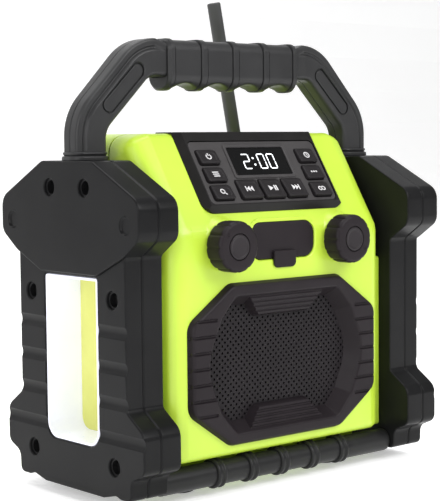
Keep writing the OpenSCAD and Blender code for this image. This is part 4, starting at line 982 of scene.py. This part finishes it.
def bar(u0, v0, u1, v1, half=0.38):
    a = Vector((u0, v0))
    b = Vector((u1, v1))
    n = (b - a).normalized()
    n = Vector((-n.y, n.x)) * half
    return [tuple(a + n), tuple(a - n), tuple(b - n), tuple(b + n)]


def ring_parts(u, v, r, start, end, half=0.38, steps=20):
    inner = []
    outer = []
    for k in range(steps + 1):
        a = math.radians(start + (end - start) * k / steps)
        outer.append((u + (r + half) * math.cos(a), v + (r + half) * math.sin(a)))
        inner.append((u + (r - half) * math.cos(a), v + (r - half) * math.sin(a)))
    return outer + inner[::-1]


SKIP = [[(0.2, 0), (-2.4, 2.0), (-2.4, -2.0)], [(2.8, 0), (0.2, 2.0), (0.2, -2.0)],
        bar(3.2, 2.0, 3.2, -2.0)]
ICONS = {
    "power_key": [ring_parts(0, 0, 1.8, 125, 415), bar(0, 0.6, 0, 2.6)],
    "mode_key": [bar(-2.4, v, 2.4, v) for v in (1.5, 0, -1.5)],
    "scan_key": [ring_parts(-0.5, 0.4, 1.5, 0, 355), bar(0.7, -0.8, 2.1, -2.1)],
    "previous_key": [[(-u, v) for u, v in shape] for shape in SKIP],
    "play_key": [[(-3.2, 2.0), (-3.2, -2.0), (0.2, 0)], bar(1.5, 2.0, 1.5, -2.0, 0.5),
                 bar(3.1, 2.0, 3.1, -2.0, 0.5)],
    "next_key": SKIP,
    "clock_key": [ring_parts(0, 0, 2.0, 0, 355), bar(0, -0.2, 0, 1.3, 0.3), bar(0, 0, 1.0, -0.6, 0.3)],
    "preset_key": [bar(u - 0.6, 0, u + 0.6, 0, 0.6) for u in (-2, 0, 2)],
    "pair_key": [ring_parts(-1.1, 0, 1.3, 0, 355), ring_parts(1.6, 0, 1.3, -140, 140)],
}
for name, x, s, _ in KEYS:
    place = moved(on_key(s), x, s)
    marks = join(name + "_mark", [printed(points, place, ICON_W, ICON_T) for points in ICONS[name]])
    dress(marks, INK, name)

SEGMENTS = {"a": (0, 1, 1), "b": (1, 0.5, 0), "c": (1, -0.5, 0), "d": (0, -1, 1), "e": (-1, -0.5, 0),
            "f": (-1, 0.5, 0), "g": (0, 0, 1)}
DIGITS = {"2": "abged", "0": "abcdef"}
DIGIT_W = 3.42
DIGIT_T = 0.08
DIGIT_HALF = (2.7, 5.2)
BAR_HALF = 0.38
DOT_U = -4.4
DOT_R = 0.75
DOT_SIDES = 12


def segment(u, v, flat):
    """One bar of a digit, with pointed ends."""
    end = (DIGIT_HALF[0] if flat else DIGIT_HALF[1] / 2) - 0.15
    t = BAR_HALF
    shape = [(-end, 0), (-end + t, -t), (end - t, -t), (end, 0), (end - t, t), (-end + t, t)]
    return [(u + a, v + b) if flat else (u + b, v + a) for a, b in shape]


def digits():
    parts = []
    for text, u0 in (("2", -10.6), ("0", 2.4), ("0", 10.6)):
        for s in DIGITS[text]:
            du, dv, flat = SEGMENTS[s]
            parts.append(segment(u0 + du * DIGIT_HALF[0], dv * DIGIT_HALF[1], flat))
    turns = [2 * math.pi * k / DOT_SIDES for k in range(DOT_SIDES)]
    for dv in (-2.4, 2.4):
        parts.append([(DOT_U + DOT_R * math.cos(a), dv + DOT_R * math.sin(a)) for a in turns])
    place = moved(on_panel, 0, LENS[2])
    return join("display_digit_bars", [printed(p, place, DIGIT_W, DIGIT_T) for p in parts])


dress(digits(), DIGIT, "body")


# Knobs

FLUTES = 12
FLUTE_POINTS = 16
FLUTE_DEPTH = 0.7
FLUTE_POWER = 5
MARK_REACH = 11.4


def knob(name, side, mark_deg):
    points = FLUTES * FLUTE_POINTS
    place = moved(on_y, side * KNOB_X, KNOB_Z)
    levels = [(55.0, 14.7, 0.5), (55.5, 15.2, 0.8), (57.0, 15.4, 1.0), (65.6, 15.4, 1.0), (66.6, 15.1, 0.9),
              (67.3, 14.6, 0.6), (67.8, 13.9, 0.25), (68.0, 13.2, 0.0), (68.0, 8.7, 0.0), (67.85, 8.2, 0.0),
              (66.9, 7.9, 0.0)]
    rings = []
    for y, r, depth in levels:
        ring = []
        for k in range(points):
            a = 2 * math.pi * k / points
            groove = max(math.cos(FLUTES * a), 0) ** FLUTE_POWER
            rr = r - FLUTE_DEPTH * depth * groove
            ring.append(place(rr * math.cos(a), rr * math.sin(a), y))
        rings.append(ring)
    body = solid(name, rings)
    a = math.radians(mark_deg)
    dot = [(67.4, 0.6), (67.6, 1.0), (68.2, 1.35), (69, 1.35)]
    spot = moved(place, MARK_REACH * math.cos(a), MARK_REACH * math.sin(a))
    return cut(body, turned("dot", dot, spot, 24))


def knob_cap(name, side):
    place = moved(on_y, side * KNOB_X, KNOB_Z)
    profile = [(66.8, 7.5), (67.7, 7.5), (68.0, 7.4), (68.17, 7.15), (68.2, 6.8), (68.2, 6.4),
               (68.1, 6.1), (67.95, 5.8), (67.9, 5.3), (67.9, 2.0)]
    return turned(name, profile, place, 64)


for side, word, mark in ((-1, "volume", 140), (1, "tuning", -35)):
    dress(knob(word + "_knob_rim", side, mark), PLUM, word + "_knob", [word + "_knob"], 38)
    dress(knob_cap(word + "_knob_face", side), CAP, word + "_knob", [word + "_knob_cap"])


# Port door

TAB_W = 18.4
TAB_FACE = 55.7


def port_door():
    flap = plate("port_door_rubber", DOOR, [(51.1, 0.3), (51.4, 0)] + edge(53.3, 0.9), on_y, 10)
    tip = edge(TAB_FACE, 0.8)
    tab = plate("tab", box_outline(TAB_W, 10.6, 3.4, 0, 140.5), [(54.3, 0.3), (54.5, 0)] + tip, on_y, 10)
    root = plate("root", box_outline(TAB_W, 4.7, 1.5, 0, 143.45), [(52.0, 0)] + tip, on_y, 10)
    plug = plate("plug", box_outline(*PLUG, 0, PORT_Z), edge_back(48.7, 0.5) + [(51.6, 0)], on_y)
    unite(flap, tab, root, plug)
    hollow = box_outline(PLUG[0] - 3, PLUG[1] - 3, PLUG[2] - 1, 0, PORT_Z)
    return cut(flap, prism("hollow", hollow, 48, 50.5, on_y))


dress(port_door(), PLUM, "port_door", ["port_door"])


# Grille

RIM_FACE = 57.5
LEDGE_HALF = 32
LEDGE_TAPER = 11
GROOVE_PITCH = 9.5
CELL_SIGNS = ((-1, -1), (1, -1), (1, 1), (-1, 1))


def grille_ledge(up):
    """Sloping ledge between the rim and the sheet, lined across, with a bevel at its sides and foot."""
    stops = [(-0.05, 0.0)]
    for k in range(LEDGE_LINES):
        t = (k + 0.6) / (LEDGE_LINES + 0.4)
        stops += [(t - 0.07, 0.0), (t - 0.045, -0.8), (t + 0.015, -0.8), (t + 0.07, 0.0)]
    stops += [(0.97, 0.0), (1.0, -0.3), (1.08, -2.2), (1.1, -LEDGE_STAND + 0.4)]
    rings = []
    for t, rise in stops:
        z = GRILLE_Z + up * (RIM_TOP - LEDGE_DROP * t)
        half = LEDGE_HALF - LEDGE_TAPER * min(t, 1.04)
        face = RIM_FACE - (RIM_FACE - SHEET_Y - LEDGE_STAND) * min(t, 1) + rise
        side = half + min(face - SHEET_Y, 5) * 0.45
        back = -SHEET_Y + 0.2
        rings.append([(-half, -face, z), (half, -face, z), (side, back, z), (-side, back, z)])
    return solid("ledge", rings)


def grille_frame():
    outer = [(SHEET_Y, 5.0), (53.6, 5.0), (53.7, 0.0), (54.2, 0.0), (57.0, 1.2), (57.8, 1.7), (58.3, 2.5),
             (58.5, 3.4)]
    rim = plate("grille_rim", GRILLE, outer, on_y, 8)
    mouth = [(SHEET_Y - 1, 7.2), (57.6, 0.6), (58.1, 0.2), (58.4, -0.4), (58.55, -1.2), (60, -1.2)]
    cut(rim, plate("mouth", MOUTH, mouth, on_y, 10))
    unite(rim, grille_ledge(-1), grille_ledge(1))
    groove = [(57.2, 0.35), (57.4, 0.15), (57.9, 0), (58.3, -0.2), (58.7, -0.6), (60, -0.6)]
    notch = [(54.4, 0.6), (55.0, 0.1), (60, 0)]
    tools = []
    for side in (-1, 1):
        for k in range(-3, 4):
            z = GRILLE_Z + GROOVE_PITCH * k
            tools.append(plate("groove", box_outline(30, 1.5, 0.4, side * 73, z), groove, on_y))
            tools.append(plate("notch", box_outline(4, 3.2, 1.2, side * 78.6, z), notch, on_y))
    return cut(rim, *tools)


dress(grille_frame(), PLUM, "body", ["grille_frame"], 35)


def inside(corners, u, v):
    for (x0, y0, _), (x1, y1, _) in zip(corners, corners[1:] + corners[:1]):
        if (x1 - x0) * (v - y0) - (y1 - y0) * (u - x0) < 0:
            return False
    return True


def grille_sheet():
    """Perforated sheet: staggered rows of cells, each with a round hole through it."""
    pitch = 4.4
    row = 2.15
    hole = 0.78
    sides = 12
    limit = outline_inset(GRILLE, 5.4)
    open_to = outline_inset(MOUTH, 6.0)
    near = SHEET_Y
    far = SHEET_Y - 0.9
    bm = bmesh.new()

    def verts(points, y):
        return [vert(bm, on_y(u, v, y)) for u, v in points]

    for j in range(-18, 19):
        shift = pitch / 2 if j % 2 else 0
        for i in range(-16, 17):
            x = i * pitch + shift
            z = GRILLE_Z + j * row
            corners = [(x + du * pitch / 2, z + dv * row / 2) for du, dv in CELL_SIGNS]
            if not all(inside(limit, u, v) for u, v in corners):
                continue
            frame_pts = []
            ring = []
            for k in range(sides):
                a = 2 * math.pi * (k + 0.5) / sides
                c = math.cos(a)
                s = math.sin(a)
                reach = min(pitch / 2 / max(abs(c), 1e-6), row / 2 / max(abs(s), 1e-6))
                frame_pts.append((x + reach * c, z + reach * s))
                ring.append((x + hole * c, z + hole * s))
            if not all(inside(open_to, u, v) for u, v in ring):
                for y in (near, far):
                    bm.faces.new(verts(corners, y))
                continue
            front = verts(ring, near)
            back = verts(ring, far)
            for y, inner in ((near, front), (far, back)):
                outer = verts(frame_pts, y)
                tips = verts(corners, y)
                at_side = [abs(abs(u - x) - pitch / 2) < 1e-6 for u, _ in frame_pts]
                for k in range(sides):
                    q = (k + 1) % sides
                    loop = [outer[k], outer[q], inner[q], inner[k]]
                    if at_side[k] != at_side[q]:
                        du = 1 if frame_pts[k][0] + frame_pts[q][0] > 2 * x else -1
                        dv = 1 if frame_pts[k][1] + frame_pts[q][1] > 2 * z else -1
                        loop.insert(1, tips[CELL_SIGNS.index((du, dv))])
                    bm.faces.new(loop)
            for k in range(sides):
                q = (k + 1) % sides
                bm.faces.new((front[k], front[q], back[q], back[k]))
    bmesh.ops.remove_doubles(bm, verts=bm.verts, dist=0.01 * MM)
    return mesh_from(bm, "grille_perforated_sheet")


dress(grille_sheet(), MESH, "body", ["grille_plate"])


# Lamp in the left guard

# The tray's material paints the lamp's light onto its walls as a glow of the tray's own.
tray = soften(node_copy("lamp_reflector", "lamp_tray"), 0.5)
dress(tray, REFLECTOR_GLOW, "body", ["lamp_reflector"])
COB_X = 97.8
dome = [(COB_X, 0), (COB_X + 0.3, 0.05), (COB_X + 0.6, 0.7), (COB_X + 0.8, 2.0), (COB_X + 0.93, 4.0),
        (COB_X + 1, 7.0)]
cob = plate("lamp_light_panel", outline_inset(WINDOW_OUTLINE, 2.0), dome, on_x(-1), 10)
dress(cob, COB, "body", ["lamp_cob"])


# Aerial

LEAN = math.radians(11.2)
AERIAL_L = 117.3


def on_aerial(u, v, w):
    return (AERIAL[0] + u * math.cos(LEAN) - w * math.sin(LEAN), AERIAL[1] + v,
            AERIAL[2] + u * math.sin(LEAN) + w * math.cos(LEAN))


def whip():
    r = 4.7
    profile = [(11.05, 4.3), (11.4, r), (14.0, r), (14.3, r - 0.5), (14.8, r - 0.5), (15.1, r), (17.6, r),
               (17.9, r - 0.5), (18.4, r - 0.5), (18.7, r), (40, r), (80, r - 0.05)]
    profile += [(w, r - 0.05 - d) for w, d in edge(AERIAL_L, 1.2)]
    return turned("aerial_whip_rubber", profile, on_aerial, 48)


dress(whip(), AERIAL_BLACK, "aerial", ["aerial_whip"])
knuckle = soften(node_copy("aerial_knuckle", "aerial_knuckle_rubber"), 0.5, 40)
dress(knuckle, AERIAL_BLACK, "aerial", ["aerial_knuckle"])

cover = plate("charge_cover_flap", box_outline(24, 14, 4, *CHARGE),
              [(54.3, 0.3), (54.6, 0)] + edge(56.7, 1.0), on_back, 8)
dress(cover, RUBBER, "charge_cover", ["charge_cover"])


# Inner and small CAD pieces keep their shape and get a finish

FINISH = {
    "guard_screws": DARK_STEEL, "case_screws": STEEL, "display_module": SOCKET, "button_board": PCB,
    "tact_switches": STEEL, "volume_shaft": STEEL, "volume_encoder": STEEL, "tuning_shaft": STEEL,
    "tuning_encoder": STEEL, "encoder_nuts": STEEL, "port_panel": SOCKET, "usb_socket": STEEL,
    "aux_jack": SOCKET, "speaker_basket": DARK_STEEL, "speaker_surround": RUBBER, "speaker_cone": PAPER,
    "speaker_magnet": MAGNET, "speaker_screws": STEEL, "main_board": PCB, "battery_pack": CELL,
    "charge_socket": STEEL, "aerial_screw": STEEL,
}
for node, material in FINISH.items():
    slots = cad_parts[node].data.materials
    if not len(slots):
        slots.append(material)
    for i in range(len(slots)):
        slots[i] = material


# Floor, light and camera

FLOOR_HALF = 6000
BEND_START = 1500
BACKDROP_R = 900
BACKDROP_TOP = 5000
BACKDROP_STEPS = 12


def stage_floor():
    """A floor that bends up into a backdrop behind the object."""
    bm = bmesh.new()
    rows = [(-FLOOR_HALF, 0), (BEND_START, 0)]
    for k in range(1, BACKDROP_STEPS + 1):
        a = math.pi / 2 * k / BACKDROP_STEPS
        rows.append((BEND_START + BACKDROP_R * math.sin(a), BACKDROP_R * (1 - math.cos(a))))
    rows.append((BEND_START + BACKDROP_R, BACKDROP_TOP))
    grid = [[vert(bm, (x, y, z)) for x in (-FLOOR_HALF, FLOOR_HALF)] for y, z in rows]
    for a, b in zip(grid, grid[1:]):
        bm.faces.new((a[0], a[1], b[1], b[0]))
    return mesh_from(bm, "studio_floor")


floor = stage_floor()
pale = surface("pale_floor", (0.88, 0.88, 0.88), (0.90, 0.90, 0.90), 0.6, patch=3, specular=0.2,
               emit=(1.0, 1.0, 1.0), emit_power=0.40)
floor.data.materials.append(pale)

world = bpy.data.worlds.new("studio")
bpy.context.scene.world = world
world.use_nodes = True
sky = world.node_tree.nodes["Background"].inputs
sky["Color"].default_value = (1, 1, 1, 1)
sky["Strength"].default_value = 0.32


LIGHT_AIM = (0, 0, 120)


def area_light(name, place, size, power):
    data = bpy.data.lights.new(name, "AREA")
    data.energy = power
    data.size = size
    lamp = bpy.data.objects.new(name, data)
    bpy.context.scene.collection.objects.link(lamp)
    lamp.location = [c * MM for c in place]
    aim = Vector([c * MM for c in LIGHT_AIM]) - lamp.location
    lamp.rotation_euler = aim.to_track_quat("-Z", "Y").to_euler()


area_light("key", (500, -1500, 1300), 1.2, 27)
area_light("fill", (-1500, -700, 700), 1.1, 13)
area_light("top", (0, 200, 1700), 1.4, 20)

CAMERA_AT = Vector((-616.8, -712.2, 213.0))
CAMERA_LOOK = Vector((0.6494, 0.7568, -0.0744)).normalized()
CAMERA_ROLL = math.radians(-0.525)
FOCAL_PX = 1463
SENSOR = 36
IMAGE_H = 501

data = bpy.data.cameras.new("camera")
data.sensor_width = SENSOR
data.lens = FOCAL_PX * SENSOR / IMAGE_H
data.clip_end = 50
camera = bpy.data.objects.new("camera", data)
bpy.context.scene.collection.objects.link(camera)
flat_right = CAMERA_LOOK.cross(Vector((0, 0, 1))).normalized()
flat_up = flat_right.cross(CAMERA_LOOK)
right = flat_right * math.cos(CAMERA_ROLL) + flat_up * math.sin(CAMERA_ROLL)
up = right.cross(CAMERA_LOOK)
facing = Matrix((right, up, -CAMERA_LOOK)).transposed().to_4x4()
camera.matrix_world = Matrix.Translation(CAMERA_AT * MM) @ facing
bpy.context.scene.camera = camera
bpy.context.scene.view_settings.view_transform = "Standard"
